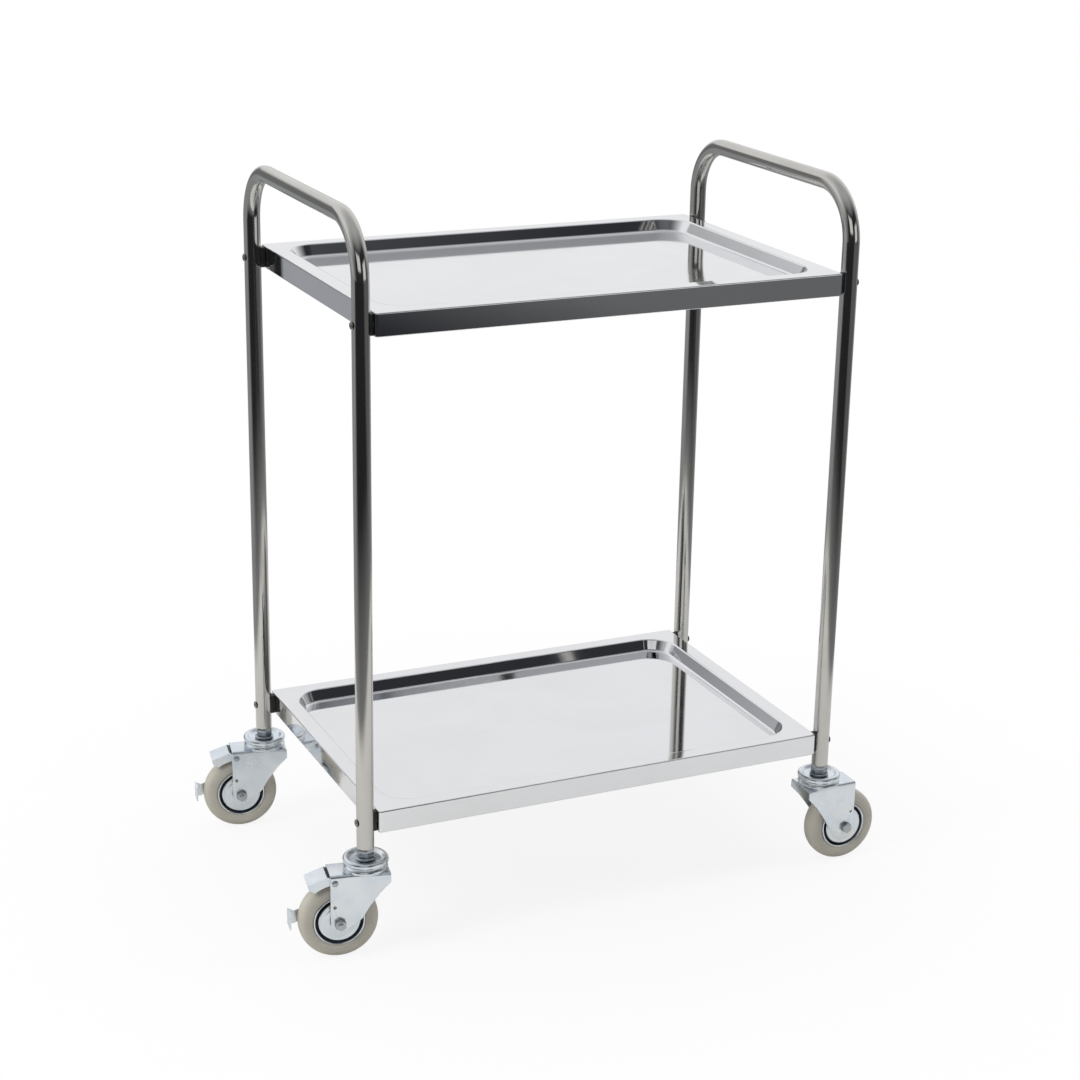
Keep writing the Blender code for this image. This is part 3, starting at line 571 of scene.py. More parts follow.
def end_frame(side):
    shape = bmesh.new()
    x = side * POST_X
    foot = Matrix.Translation((x, -POST_Y, POST_FOOT_Z))
    bmesh.ops.create_circle(shape, segments=RING_SIDES, radius=TUBE_RADIUS, matrix=foot)
    ring = list(shape.edges)
    bend_z = HANDLE_Z - HANDLE_BEND
    bend_y = POST_Y - HANDLE_BEND
    ring = push(shape, ring, (0, 0, bend_z - POST_FOOT_Z))
    ring = bend(shape, ring, (x, -bend_y, bend_z), BEND_STEPS)
    ring = push(shape, ring, (0, 2 * bend_y, 0))
    ring = bend(shape, ring, (x, bend_y, bend_z), BEND_STEPS)
    push(shape, ring, (0, 0, POST_FOOT_Z - bend_z))
    return shape


for side_name, side in (("left", -1), ("right", 1)):
    tube = shape_to_piece(
        f"{side_name}_bent_tube", end_frame(side), "frame", TUBE, (f"{side_name}_end_frame",),
        TUBE_CREASE,
    )
    give_wall(tube, TUBE_WALL)
    even_normals(tube)
    print(tube.name, len(tube.data.polygons), "faces")

# %% [markdown]
# ## Trays
#
# Each tray is pressed from one steel sheet. Its plan is a rectangle with small corner radii,
# and the pan's plan one with large radii. The sheet's section runs from the hem up the skirt,
# over the rim and down the pan's wall, with every fold already round. A first loop of edges is
# extruded from each point of the section to the next. The last loop is filled to make the
# pan's floor, and Solidify gives the sheet its thickness.

# %% Tray plan and folds
CORNER_SEGMENTS = 8
RIM_WIDTH = 22 * MM
PAN_RADIUS = 40 * MM
PAN_WALL_RUN = 8 * MM
PAN_DEPTH = 16 * MM
SKIRT_RADIUS = 3 * MM
HEM = 10 * MM
TRAY_WALL = 1 * MM
TRAY_CREASE = math.radians(50)
HEM_STEPS = 2


def first_loop(shape, plan, z):
    """A rounded rectangle of edges: one quad with its four corners bevelled."""
    half_x, half_y, radius = plan
    spread = Matrix.Translation((0, 0, z)) @ Matrix.Diagonal((half_x, half_y, 1.0, 1.0))
    quad = bmesh.ops.create_grid(shape, x_segments=1, y_segments=1, size=1.0, matrix=spread)
    bmesh.ops.bevel(
        shape, geom=quad["verts"], offset=radius, offset_type="OFFSET", segments=CORNER_SEGMENTS,
        profile=0.5, affect="VERTICES", material=-1, clamp_overlap=False,
    )
    edges = list(shape.edges)
    bmesh.ops.delete(shape, geom=list(shape.faces), context="FACES_ONLY")
    return edges


def corner_centre(plan, point):
    """The middle of the round corner that a point of the plan lies on."""
    half_x, half_y, radius = plan
    return Vector(
        (math.copysign(half_x - radius, point.co.x), math.copysign(half_y - radius, point.co.y))
    )


def next_loop(shape, edges, plan, new_plan, z):
    """Extrude the loop, then carry each new point to the next plan, round its own corner."""
    radius, new_radius = plan[2], new_plan[2]
    grown = bmesh.ops.extrude_edge_only(shape, edges=edges)["geom"]
    points = [g for g in grown if isinstance(g, bmesh.types.BMVert)]
    for point in points:
        across = (point.co.xy - corner_centre(plan, point)) / radius
        place = corner_centre(new_plan, point) + across * new_radius
        point.co = (place.x, place.y, z)
    return edges_between(grown, points)


def fold(corner, before, after, radius, steps):
    """Points (inset, height) of a round fold at a corner of the sheet's section."""
    corner = Vector(corner)
    start = corner + (Vector(before) - corner).normalized() * radius
    end = corner + (Vector(after) - corner).normalized() * radius
    line = []
    for step in range(steps + 1):
        t = step / steps
        line.append(start * (1 - t) ** 2 + corner * 2 * t * (1 - t) + end * t**2)
    return line


def tray_section(low_z, high_z):
    """Points (inset, height) of the sheet, from its hem to the edge of the pan's floor."""
    floor_z = high_z - PAN_DEPTH
    hem, foot, brim = (HEM, low_z), (0.0, low_z), (0.0, high_z)
    lip, well = (RIM_WIDTH, high_z), (RIM_WIDTH + PAN_WALL_RUN, floor_z)
    centre = (RIM_WIDTH + 2 * PAN_RADIUS, floor_z)
    section = [Vector(hem)]
    section += fold(foot, hem, brim, 1.2 * MM, 3)
    section += fold(brim, foot, lip, 1.8 * MM, 5)
    section += fold(lip, brim, well, 1.8 * MM, 5)
    section += fold(well, lip, centre, 3.0 * MM, 6)
    return section


def pressed_tray(low, high):
    shape = bmesh.new()
    section = tray_section(low.z, high.z)

    def plan(step):
        """Half sizes and corner radius of the loop at one step of the section."""
        inset = section[step].x
        if step < HEM_STEPS:
            radius = SKIRT_RADIUS
        elif inset > RIM_WIDTH:
            radius = PAN_RADIUS - (inset - RIM_WIDTH)
        else:
            span = max(inset / RIM_WIDTH, 0.0)
            radius = SKIRT_RADIUS + (PAN_RADIUS - SKIRT_RADIUS) * span
        return (high.x - low.x) / 2 - inset, (high.y - low.y) / 2 - inset, radius

    loop = first_loop(shape, plan(0), section[0].y)
    for step in range(1, len(section)):
        loop = next_loop(shape, loop, plan(step - 1), plan(step), section[step].y)
    bmesh.ops.edgeloop_fill(shape, edges=loop)
    return shape


for level in LEVELS:
    box_low, box_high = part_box(f"{level}_tray")
    tray = shape_to_piece(
        f"{level}_pressed_tray", pressed_tray(box_low, box_high), "frame", SHEET,
        (f"{level}_tray",), TRAY_CREASE,
    )
    give_wall(tray, TRAY_WALL)
    even_normals(tray)
    print(tray.name, len(tray.data.polygons), "faces, top at", round(box_high.z, 4))

# %% [markdown]
# ## Saddle blocks and bolts
#
# A black plastic block sits between each post and tray. It is set back from the tray's long
# side and from its rim, so that the tray's corner hides it. Each bolt is a dome-head screw: its
# head is turned, and a socket is pressed into the dome. Its nut sits inside the tray's skirt.

# %% Saddle blocks
BLOCK_OUTSIDE = 3.8 * MM
BLOCK_INSIDE = 7.0 * MM
BLOCK_BELOW_RIM = 2.0 * MM
BLOCK_ABOVE_HEM = 1.0 * MM
BLOCK_EDGE = 0.6 * MM


def saddle_block(low, high, across):
    """A block that reaches from the tray's end into the post's near side."""
    outside = across * (POST_Y + BLOCK_OUTSIDE)
    inside = across * (POST_Y - BLOCK_INSIDE)
    bottom = low.z + BLOCK_ABOVE_HEM
    top = high.z - BLOCK_BELOW_RIM
    centre = Vector((low.x + high.x, outside + inside, bottom + top)) / 2
    spread = Matrix.Diagonal((high.x - low.x, abs(outside - inside), top - bottom, 1.0))
    shape = bmesh.new()
    bmesh.ops.create_cube(shape, size=1.0, matrix=Matrix.Translation(centre) @ spread)
    bmesh.ops.bevel(
        shape, geom=shape.edges[:], offset=BLOCK_EDGE, segments=2, profile=0.5,
        affect="EDGES", material=-1,
    )
    return shape


for level in LEVELS:
    for corner in CORNERS:
        node_name = f"{level}_{corner}_spacer"
        across = -1 if corner.startswith("front") else 1
        block_shape = saddle_block(*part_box(node_name), across)
        shape_to_piece(f"{level}_{corner}_block", block_shape, "frame", BLOCK, (node_name,))
print("blocks:", sum(piece.name.endswith("block") for piece in made))

# %% Bolts
BOLT_NUT_FLATS = 10 * MM
BOLT_NUT_ENDS = 3 * MM, 8 * MM


def tray_bolt(low, high, side):
    """A bolt along X: dome head outside the post, shank, and a nut at its inner end."""
    shape = bmesh.new()
    head = (
        (0.0, -2.2), (1.6, -2.2), (1.8, -1.3), (2.7, -1.4), (3.8, -1.8), (4.7, -2.5),
        (5.0, -3.1), (5.0, -3.4), (3.0, -3.4),
    )
    point = (3.0, 0.6), (2.4, 0.0), (0.0, 0.0)
    turned(shape, mm_points(head, high.x - low.x) + mm_points(point), steps=32)
    hexagon(shape, BOLT_NUT_FLATS, *BOLT_NUT_ENDS, 0.5 * MM)
    lie = Matrix.Rotation(math.radians(90 * side), 4, "Y")
    end_x = low.x if side > 0 else high.x
    place = Matrix.Translation((end_x, (low.y + high.y) / 2, (low.z + high.z) / 2)) @ lie
    shape.transform(place)
    return shape


for level in LEVELS:
    for corner in CORNERS:
        node_name = f"{level}_{corner}_bolt"
        side = -1 if corner.endswith("left") else 1
        bolt_shape = tray_bolt(*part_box(node_name), side)
        shape_to_piece(f"{level}_{corner}_dome_bolt", bolt_shape, "frame", SHADED_BOLT, (node_name,))
print("bolts:", sum(piece.name.endswith("dome_bolt") for piece in made))

# %% [markdown]
# ## Castors
#
# A castor is modelled in its own frame, with the swivel axis on Z and the wheel trailing
# towards +X, and each copy is turned to its heading. Heights are measured up from the floor.
# Most profiles are rows of (radius, height) in millimetres from one face of the piece.

# %% Where the castors stand
CASTORS = {  # side in X, side in Y, and heading in degrees
    "front_left": (-1, -1, 170.0),
    "back_left": (-1, 1, 170.0),
    "front_right": (1, -1, 0.0),
    "back_right": (1, 1, -8.0),
}
ON_SIDE = Matrix.Rotation(math.radians(-90), 4, "X")
AXLE_SPOT = Matrix.Translation((TRAIL, 0, WHEEL_RADIUS)) @ ON_SIDE
RIVET_SPOT = Matrix.Translation((42 * MM, 0, 107.5 * MM)) @ ON_SIDE

# %% [markdown]
# ### Stem, lock nut and swivel cap
#
# Under each post a chamfered lock nut with a flange bears on a pressed cap. The cap is a
# shallow dish whose rolled edge covers the ball race, with a ring pressed into its top.

# %% Stem, lock nut and swivel cap
NUT_BASE = POST_FOOT_Z - 15.3 * MM
NUT_FLATS = 19.5 * MM
stem_low, stem_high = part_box("front_left_stem")
cap_low, cap_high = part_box("front_left_swivel_cap")
CAP_RADIUS = (cap_high.x - cap_low.x) / 2


def castor_stem():
    shape = bmesh.new()
    plug = (0.0, 0.0), (9.5, 0.0)
    shank = (9.5, 0.3), (8.2, 0.3), (8.2, -0.7), (6.0, -1.1)
    head = (6.0, 3.5), (10.0, 3.5), (9.4, 1.6), (7.0, 0.3), (0.0, 0.0)
    profile = mm_points(plug, stem_high.z) + mm_points(shank, POST_FOOT_Z)
    turned(shape, profile + mm_points(head, stem_low.z))
    hexagon(shape, NUT_FLATS, NUT_BASE + 3.2 * MM, POST_FOOT_Z - 0.4 * MM, 0.9 * MM)
    flange = (6.2, 3.0), (11.6, 3.0), (12.6, 2.2), (12.6, 0.5), (11.9, 0.0), (6.2, 0.0)
    turned(shape, mm_points(flange, NUT_BASE), closed=True)
    return shape


def swivel_cap():
    over = (
        (6.4, -4.0), (19.2, -4.0), (20.6, -3.5), (22.4, -1.4), (23.6, -0.4), (24.8, 0.0),
        (26.4, -0.1), (27.8, -0.9), (28.7, -2.0),
    )
    under = (27.2, -2.6), (25.0, -1.4), (23.2, -3.4), (21.0, -5.3), (6.4, -5.3)
    edge = [(CAP_RADIUS, cap_high.z - 3.2 * MM)]
    for inset, rise in ((0.0, 0.4), (0.4, 0.0), (1.2, 0.0), (1.5, 0.4)):
        edge.append((CAP_RADIUS - inset * MM, cap_low.z + rise * MM))
    profile = mm_points(over, cap_high.z) + edge + mm_points(under, cap_high.z)
    return turned(bmesh.new(), profile, steps=72, closed=True)


print("cap", round(cap_low.z, 4), round(cap_high.z, 4), "stem", round(stem_low.z, 4))

# %% [markdown]
# ### Fork
#
# The fork is folded from one plate: a top web and two legs that taper to a round end at the
# axle. One leg is drawn as three flat faces. Two of them meet at a small hole, and the third
# leans outwards from a crease. Vertex bevels round the leg's corners. Its top edge is extruded
# across to make the web, a mirror makes the other leg, an edge bevel gives the bend radii, and
# Solidify gives the plate. A turned crown between the web and the cap completes it.

# %% Fork
FORK_OUTER = 19.5 * MM
FORK_PLATE = 2.5 * MM
CROWN_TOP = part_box("back_right_fork")[1].z
FORK_TOP = CROWN_TOP - 9.0 * MM
FRONT_X = -28 * MM
CREASE_X = 14 * MM
CREASE_Z = WHEEL_RADIUS - 1.5 * MM
FLARE = math.tan(math.radians(7))
TIP_RADIUS = 12 * MM
TIP_Z = WHEEL_RADIUS - TIP_RADIUS
TIP_FRONT_X = 32.9 * MM
REAR_X = TRAIL + TIP_RADIUS
HOLE_X, HOLE_Z = 42.5 * MM, WHEEL_RADIUS + 23 * MM
HOLE_RADIUS = 2 * MM
HOLE_STEPS = 10


def leg_face(shape, outline):
    """One flat part of the near leg. In front of the crease it leans outwards."""
    corners = []
    for x, z in outline:
        y = -FORK_OUTER - max(0.0, CREASE_X - x) * FLARE
        corners.append(shape.verts.new((x, y, z)))
    shape.faces.new(corners)
    return corners


def half_hole():
    """The upper half of the small hole's edge, from its rear to its front."""
    angles = [math.pi * step / HOLE_STEPS for step in range(HOLE_STEPS + 1)]
    return [
        (HOLE_X + HOLE_RADIUS * math.cos(angle), HOLE_Z + HOLE_RADIUS * math.sin(angle))
        for angle in angles
    ]


def lies_at(edge, z):
    return all(abs(corner.co.z - z) < LEVEL for corner in edge.verts)


def fork_yoke():
    shape = bmesh.new()
    over = half_hole()
    under = [(x, 2 * HOLE_Z - z) for x, z in reversed(over)]
    above_hole = (
        (REAR_X, FORK_TOP), (REAR_X, HOLE_Z), *over, (CREASE_X, HOLE_Z), (CREASE_X, FORK_TOP),
    )
    below_hole = (
        (REAR_X, HOLE_Z), (REAR_X, TIP_Z), (TIP_FRONT_X, TIP_Z), (CREASE_X, CREASE_Z),
        (CREASE_X, HOLE_Z), *under,
    )
    flared = (
        (CREASE_X, FORK_TOP), (CREASE_X, HOLE_Z), (CREASE_X, CREASE_Z),
        (7 * MM, WHEEL_RADIUS + 6 * MM), (0.0, WHEEL_RADIUS + 19 * MM),
        (-15 * MM, WHEEL_RADIUS + 40 * MM), (FRONT_X, FORK_TOP - 12.5 * MM), (FRONT_X, FORK_TOP),
    )
    leg_face(shape, above_hole)
    rear = leg_face(shape, below_hole)
    front = leg_face(shape, flared)
    for corner, radius in ((rear[1], TIP_RADIUS), (rear[2], 3.1 * MM), (front[4], 5 * MM)):
        bmesh.ops.bevel(
            shape, geom=[corner], offset=radius, offset_type="OFFSET", segments=8,
            profile=0.5, affect="VERTICES", material=-1, clamp_overlap=False,
        )
    bmesh.ops.remove_doubles(shape, verts=shape.verts, dist=TOUCHING)
    tops = [edge for edge in shape.edges if lies_at(edge, FORK_TOP)]
    grown = bmesh.ops.extrude_edge_only(shape, edges=tops)["geom"]
    for point in (g for g in grown if isinstance(g, bmesh.types.BMVert)):
        point.co.y = 0.0
    bmesh.ops.mirror(
        shape, geom=shape.verts[:] + shape.edges[:] + shape.faces[:],
        matrix=Matrix.Identity(4), merge_dist=TOUCHING, axis="Y",
    )
    bends = [
        edge for edge in shape.edges
        if lies_at(edge, FORK_TOP) and len(edge.link_faces) == 2
        and all(abs(corner.co.y) > FORK_OUTER / 2 for corner in edge.verts)
    ]
    bmesh.ops.bevel(
        shape, geom=bends, offset=3.5 * MM, offset_type="OFFSET", segments=6, profile=0.5,
        affect="EDGES", material=-1, clamp_overlap=True,
    )
    return shape


def fork_crown():
    """The lower race: a shallow neck under the cap that bulges to a ring on the web."""
    profile = (
        (6.4, 0.0), (24.6, 0.0), (25.6, -0.3), (26.0, -1.0), (26.0, -2.6), (26.6, -3.4),
        (27.8, -4.6), (28.4, -6.2), (28.2, -7.8), (27.4, -9.0), (26.2, -9.8), (6.4, -9.8),
    )
    return turned(bmesh.new(), mm_points(profile, CROWN_TOP), steps=72, closed=True)


# %% [markdown]
# ### Axle
#
# A hexagon-head bolt passes through both legs. Each end has a washer, and the nut's end shows
# a little thread, drawn as shallow rings.

# %% Axle
AXLE_FLATS = 13 * MM
AXLE_RADIUS = 4.0 * MM
OUTER_FACE = FORK_OUTER + 0.3 * MM
WASHER = 1.2 * MM
WASHER_RADIUS = 7.4 * MM
THREAD_TURNS = 2
THREAD_PITCH = 0.9 * MM
THREAD_ROOT = 3.45 * MM


def washer(shape, bore, side):
    """A flat ring on a leg's outer face: side is 1 at the nut and -1 at the bolt's head."""
    near, far = side * OUTER_FACE, side * (OUTER_FACE + WASHER)
    profile = (bore, far), (WASHER_RADIUS, far), (WASHER_RADIUS, near), (bore, near)
    turned(shape, profile, steps=32, closed=True)


def axle_bolt():
    shape = bmesh.new()
    end = OUTER_FACE + 8.5 * MM
    profile = [(0.0, end), (3.1 * MM, end)]
    for turn in range(THREAD_TURNS):
        crest = end - 0.5 * MM - turn * THREAD_PITCH
        profile += [(AXLE_RADIUS, crest), (THREAD_ROOT, crest - THREAD_PITCH / 2)]
    profile += [(AXLE_RADIUS, end - 3.3 * MM), (AXLE_RADIUS, -OUTER_FACE), (0.0, -OUTER_FACE)]
    turned(shape, profile, steps=32)
    hexagon(shape, AXLE_FLATS, -OUTER_FACE - 5 * MM, -OUTER_FACE - WASHER, 0.7 * MM)
    washer(shape, AXLE_RADIUS + 0.1 * MM, -1)
    return shape


def axle_nut():
    shape = bmesh.new()
    hexagon(shape, AXLE_FLATS, OUTER_FACE + WASHER, OUTER_FACE + 6 * MM, 0.7 * MM)
    washer(shape, AXLE_RADIUS + 0.2 * MM, 1)
    return shape


# %% [markdown]
# ### Wheel
#
# The tyre is a thick ring with a crowned tread and rounded shoulders. A bright rim with a
# rolled lip holds it. Inside the rim is a dark plastic centre with a dished zinc disc on each
# side, and between disc and rim the dark centre shows as a groove.

# %% Wheel
TYRE_HALF = 13.5 * MM
BORE = 33 * MM


def tyre():
    half = []
    for out, drop in ((0.3, 1.2), (1.2, 0.5), (3.0, 0.0)):
        half.append((BORE + out * MM, TYRE_HALF - drop * MM))
    tread = (9.0, 0.0), (6.4, 0.5), (4.2, 1.6), (2.4, 3.3), (1.1, 5.6), (0.3, 8.6), (0.0, 12.0)
    for inset, drop in tread:
        half.append((WHEEL_RADIUS - inset * MM, TYRE_HALF - drop * MM))
    return turned(bmesh.new(), mirrored(half), steps=96, closed=True)


def wheel_core():
    """The dark plastic centre, inside the bright rim."""
    half = (
        (4.3, 16.7), (6.2, 16.7), (6.2, 11.5), (13.0, 11.5), (14.5, 4.0), (28.6, 4.0),
        (29.6, 10.2), (30.2, 10.8),
    )
    return turned(bmesh.new(), mirrored(mm_points(half)), steps=96, closed=True)


def wheel_rim():
    """The thin bright rim that holds the tyre, with a rolled lip on each side."""
    half = (30.3, 10.2), (30.5, 12.3), (31.0, 13.0), (31.8, 13.3), (32.6, 13.0), (33.0, 12.3)
    return turned(bmesh.new(), mirrored(mm_points(half)), steps=96, closed=True)


def guard_disc(side):
    shape = bmesh.new()
    profile = (
        (6.8, 13.0), (9.5, 13.0), (10.4, 13.8), (12.6, 14.1), (16.5, 14.0), (20.0, 13.5),
        (21.4, 12.8), (23.6, 12.7), (24.6, 13.1), (25.8, 13.0), (26.6, 12.3), (26.7, 10.5),
        (25.7, 10.5), (25.5, 12.0), (6.8, 12.0),
    )
    turned(shape, mm_points(profile), steps=72, closed=True)
    if side < 0:
        shape.transform(Matrix.Rotation(math.pi, 4, "X"))
    return shape


# %% [markdown]
# ### Brake lever
#
# The left castors have a brake: one pressing that turns on a rivet behind the crown. Its pad
# curves over the tread, an arm runs down past the tyre's far side, and a tab behind the wheel
# takes the foot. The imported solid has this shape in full, so it is copied, its flat triangles
# are merged, and its edges are rounded.

# %% Brake lever
def copied_lever(node_name):
    shape = bmesh.new()
    shape.from_mesh(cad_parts[node_name].data)
    bmesh.ops.remove_doubles(shape, verts=shape.verts, dist=10 * TOUCHING)
    bmesh.ops.dissolve_limit(
        shape, angle_limit=math.radians(2), verts=shape.verts, edges=shape.edges
    )
    return shape


def brake_rivet():
    half = (0.0, 1.6), (2.2, 1.4), (3.6, 0.8), (4.2, 0.0), (2.5, 0.0)
    return turned(bmesh.new(), mirrored(mm_points(half, OUTER_FACE)), steps=32)


# %% [markdown]
# ### Put the castors together
#
# Every shape is made in the castor's own frame, so one matrix per castor takes it to its place.
# The swivel, the wheel and the brake each have their own body. The crown and the rim have no
# node of their own, so they stand for none.

# %% Castors
for castor_name, (side_x, side_y, heading) in CASTORS.items():
    turn = Matrix.Rotation(math.radians(heading), 4, "Z")
    swivel_spot = Matrix.Translation((side_x * POST_X, side_y * POST_Y, 0)) @ turn
    axle_spot = swivel_spot @ AXLE_SPOT
    swivel, wheel = f"{castor_name}_swivel", f"{castor_name}_wheel"
    parts = [
        ("lock_nut_and_stem", castor_stem(), "frame", SHADED_FIXING, "stem", swivel_spot),
        ("race_cap", swivel_cap(), "frame", ZINC, "swivel_cap", swivel_spot),
        ("yoke", fork_yoke(), swivel, ZINC, "fork", swivel_spot),
        ("crown", fork_crown(), swivel, ZINC, None, swivel_spot),
        ("axle", axle_bolt(), swivel, SHADED_FIXING, "axle_bolt", axle_spot),
        ("axle_lock_nut", axle_nut(), swivel, SHADED_FIXING, "axle_nut", axle_spot),
        ("grey_tyre", tyre(), wheel, RUBBER, "tyre", axle_spot),
        ("wheel_centre", wheel_core(), wheel, CENTRE, "wheel_core", axle_spot),
        ("wheel_rim", wheel_rim(), wheel, ZINC, None, axle_spot),
        ("guard_nut_side", guard_disc(1), wheel, ZINC, "nut_side_guard", axle_spot),
        ("guard_head_side", guard_disc(-1), wheel, ZINC, "head_side_guard", axle_spot),
    ]
    if side_x < 0:
        brake, in_place = f"{castor_name}_brake", Matrix.Identity(4)
        lever = copied_lever(f"{castor_name}_brake_lever")
        rivet_spot = swivel_spot @ RIVET_SPOT
        parts += [
            ("rivet", brake_rivet(), swivel, SHADED_FIXING, "brake_pin", rivet_spot),
            ("foot_brake", lever, brake, ZINC, "brake_lever", in_place),
        ]
    for piece_name, shape, body, finish, node, spot in parts:
        shape.transform(spot)
        stands_for = (f"{castor_name}_{node}",) if node else ()
        piece = shape_to_piece(f"{castor_name}_{piece_name}", shape, body, finish, stands_for)
        if piece_name == "yoke":
            give_wall(piece, FORK_PLATE)
            soften(piece, 0.5 * MM)
        if piece_name == "foot_brake":
            soften(piece, 0.3 * MM)
    print(castor_name, len(parts), "pieces")

# %% [markdown]
# ## Studio
#
# Polished steel shows its surroundings, so the surroundings are most of its colour. The floor
# is a pale round of paper, which the lower tray's front reflects. Past the paper's edge the
# room is bright behind the trolley and dark in front of it, and that is what the upper tray
# and the tubes reflect. Two glowing panels in front give the tubes their streaks. To the
# camera all that is white, with the trolley's shadow on it. From below, the floor is clear.

# %% Studio helpers
WHITE = (1.0, 1.0, 1.0)


def glow(tree, colour, place):
    """A shader that only gives light, in a colour given as numbers or as a socket."""
    node = add_node(tree, "ShaderNodeEmission", place)
    if isinstance(colour, bpy.types.NodeSocket):
        tree.links.new(colour, node.inputs["Color"])
    else:
        node.inputs["Color"].default_value = (*colour, 1.0)
    return node.outputs["Emission"]


def mix_shaders(tree, factor, first, second, place):
    node = add_node(tree, "ShaderNodeMixShader", place)
    for key, source in (("Fac", factor), (1, first), (2, second)):
        tree.links.new(source, node.inputs[key])
    return node.outputs["Shader"]


def split_axes(tree, vector, place):
    node = add_node(tree, "ShaderNodeSeparateXYZ", place)
    tree.links.new(vector, node.inputs["Vector"])
    return node.outputs


# %% Floor
PAPER_RADIUS = 6.0
PAPER_PAINT = (0.74, 0.74, 0.73)
PAPER_EDGE = (0.80, 0.80, 0.79)
NEAR_FRONT = (0.27, 0.27, 0.275)
FRONT_LEFT_ROOM = (0.026, 0.027, 0.031)
FRONT_RIGHT_ROOM = (0.145, 0.147, 0.151)
BACK_ROOM = (0.36, 0.37, 0.39)


def floor_material():
    """Paper round the trolley, and past its edge the room. Distances are from the middle."""
    material, tree, shader, vector = plain_shader("floor_paper")
    paper = shader.outputs["BSDF"]
    shader.inputs["Base Color"].default_value = (*PAPER_PAINT, 1.0)
    shader.inputs["Roughness"].default_value = 0.9
    shader.inputs["Specular IOR Level"].default_value = 0.0
    length = add_node(tree, "ShaderNodeVectorMath", (-1000, 200), operation="LENGTH")
    tree.links.new(vector, length.inputs[0])
    distance = length.outputs["Value"]
    axes = split_axes(tree, vector, (-1000, -500))

    fade = remap(tree, distance, 0.30, 0.95, (-800, 200), to_low=0.86)
    seen = mix_shaders(tree, fade, paper, glow(tree, WHITE, (-300, -200)), (0, 100))

    aside = remap(tree, axes["X"], 0.85, 1.6, (-800, -900))
    far_front = blend_colour(tree, aside, FRONT_LEFT_ROOM, FRONT_RIGHT_ROOM, (-600, -800))
    away = remap(tree, distance, 1.05, 2.1, (-800, -1100))
    front = blend_colour(tree, away, NEAR_FRONT, far_front, (-500, -800))
    behind = remap(tree, axes["Y"], -0.6, 0.5, (-800, -600))
    room = blend_colour(tree, behind, front, BACK_ROOM, (-500, -550))
    edge = remap(tree, distance, 0.94, 1.12, (-800, -300))
    colour = blend_colour(tree, edge, PAPER_EDGE, room, (-400, -450))
    reflected = mix_shaders(tree, edge, paper, glow(tree, colour, (-200, -450)), (0, -200))

    path = add_node(tree, "ShaderNodeLightPath", (0, 400))
    top = mix_shaders(tree, path.outputs["Is Camera Ray"], reflected, seen, (250, 100))
    side = add_node(tree, "ShaderNodeNewGeometry", (250, 400))
    clear = add_node(tree, "ShaderNodeBsdfTransparent", (250, -200)).outputs["BSDF"]
    sheet = mix_shaders(tree, side.outputs["Backfacing"], top, clear, (450, 100))
    tree.links.new(sheet, tree.nodes["Material Output"].inputs["Surface"])
    return material


def pale_floor():
    shape = bmesh.new()
    bmesh.ops.create_circle(shape, cap_ends=True, segments=96, radius=PAPER_RADIUS)
    mesh = bpy.data.meshes.new("floor_paper")
    shape.to_mesh(mesh)
    shape.free()
    mesh.materials.append(floor_material())
    floor = bpy.data.objects.new("floor_paper", mesh)
    bpy.context.scene.collection.objects.link(floor)
    return floor


print("floor:", pale_floor().name)

# %% World
ABOVE = (0.55, 0.56, 0.58)
BACK_LEFT = (0.21, 0.215, 0.225)
BACK_LEFT_HIGH = (0.97, 0.97, 0.98)
BACK_RIGHT = (0.60, 0.61, 0.63)
BACK_RIGHT_HIGH = (0.95, 0.95, 0.96)
FRONT_DARK = (0.030, 0.032, 0.036)
PANEL = (0.9, 0.9, 0.9)
PANEL_SOFT = 0.04


def glowing_panel(tree, axes, x_range, z_range, place):
    """A mask that is 1 inside a range of X and of Z of the direction, with soft edges."""
    mask = None
    for axis, (low, high) in (("X", x_range), ("Z", z_range)):
        for limit, soft in ((low, PANEL_SOFT), (high, -PANEL_SOFT)):
            side = remap(tree, axes[axis], limit - soft, limit + soft, place)
            mask = side if mask is None else combine(tree, "MULTIPLY", mask, side, place)
    return mask


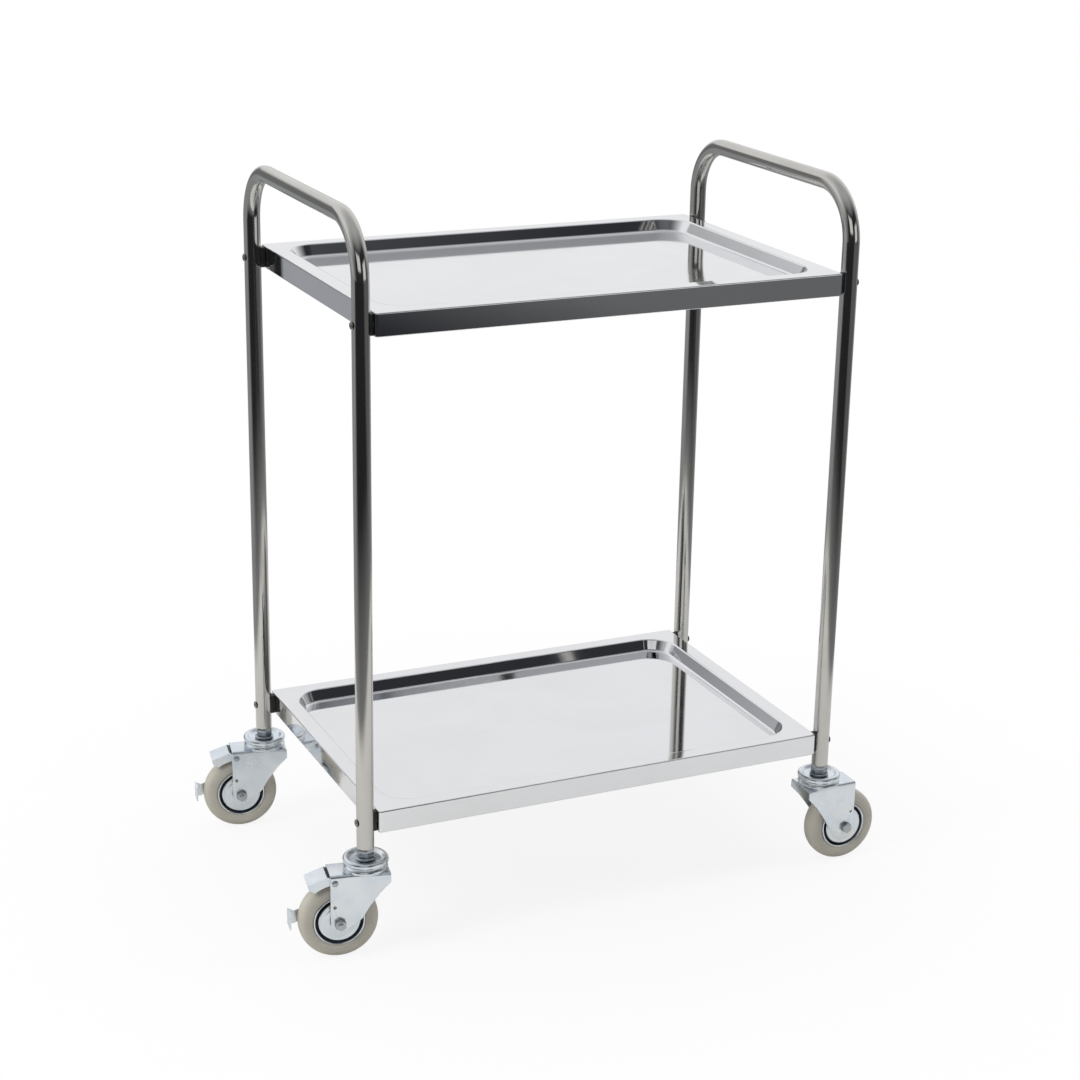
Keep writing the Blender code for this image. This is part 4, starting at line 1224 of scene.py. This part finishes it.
def studio_world():
    """White to the camera. To the rest, a room whose parts are told by the ray's direction."""
    world = bpy.data.worlds.new("studio")
    world.use_nodes = True
    tree = world.node_tree
    coordinates = add_node(tree, "ShaderNodeTexCoord", (-1300, 0))
    axes = split_axes(tree, coordinates.outputs["Generated"], (-1100, 0))

    far_left = remap(tree, axes["X"], -0.54, -0.62, (-1100, -350))
    low_left = blend_colour(tree, far_left, BACK_LEFT, ABOVE, (-900, -200))
    left_high = remap(tree, axes["Z"], 0.22, 0.34, (-900, -350))
    left_back = blend_colour(tree, left_high, low_left, BACK_LEFT_HIGH, (-700, -350))
    right_high = remap(tree, axes["Z"], 0.02, 0.20, (-900, -550))
    right_back = blend_colour(tree, right_high, BACK_RIGHT, BACK_RIGHT_HIGH, (-700, -550))
    aside = remap(tree, axes["X"], -0.12, 0.10, (-900, -750))
    back = blend_colour(tree, aside, left_back, right_back, (-550, -450))

    right_panel = glowing_panel(tree, axes, (0.34, 0.80), (-0.10, 0.34), (-900, -1000))
    left_panel = glowing_panel(tree, axes, (-0.66, -0.12), (0.14, 0.56), (-900, -1300))
    panels = combine(tree, "MAXIMUM", right_panel, left_panel, (-700, -1000))
    front = blend_colour(tree, panels, FRONT_DARK, PANEL, (-500, -900))

    behind = remap(tree, axes["Y"], -0.45, 0.35, (-700, 100))
    wall = blend_colour(tree, behind, front, back, (-400, 100))
    above = remap(tree, axes["Z"], 0.60, 0.98, (-700, -150))
    colour = blend_colour(tree, above, wall, ABOVE, (-200, 0))
    room = tree.nodes["Background"]
    tree.links.new(colour, room.inputs["Color"])
    white = add_node(tree, "ShaderNodeBackground", (0, -200))
    white.inputs["Color"].default_value = (*WHITE, 1.0)
    path = add_node(tree, "ShaderNodeLightPath", (0, 300))
    shaders = room.outputs["Background"], white.outputs["Background"]
    both = mix_shaders(tree, path.outputs["Is Camera Ray"], *shaders, (250, 0))
    tree.links.new(both, tree.nodes["World Output"].inputs["Surface"])
    bpy.context.scene.world = world
    return world


print("world:", studio_world().name)

# %% Lamps
def soft_lamp(name, place, target, width, height, power, colour):
    """A rectangular soft box that faces a point."""
    lamp_data = bpy.data.lights.new(name, "AREA")
    lamp_data.shape = "RECTANGLE"
    lamp_data.size = width
    lamp_data.size_y = height
    lamp_data.energy = power
    lamp_data.color = colour
    lamp = bpy.data.objects.new(name, lamp_data)
    lamp.visible_glossy = False
    lamp.location = place
    lamp.rotation_euler = (Vector(target) - Vector(place)).to_track_quat("-Z", "Y").to_euler()
    bpy.context.scene.collection.objects.link(lamp)
    return lamp


soft_lamp("key_box", (-2.6, -0.6, 2.6), (0, 0, 0.5), 1.2, 1.8, 60, (1.0, 0.99, 0.97))
soft_lamp("fill_box", (2.8, -0.8, 1.6), (0, 0, 0.5), 0.8, 1.8, 26, (0.97, 0.98, 1.0))
soft_lamp("top_box", (0.0, 0.2, 3.2), (0, 0, 0.3), 2.0, 1.6, 30, (1.0, 1.0, 1.0))
print("lamps set")

# %% Count the pieces
print("pieces made:", len(made))
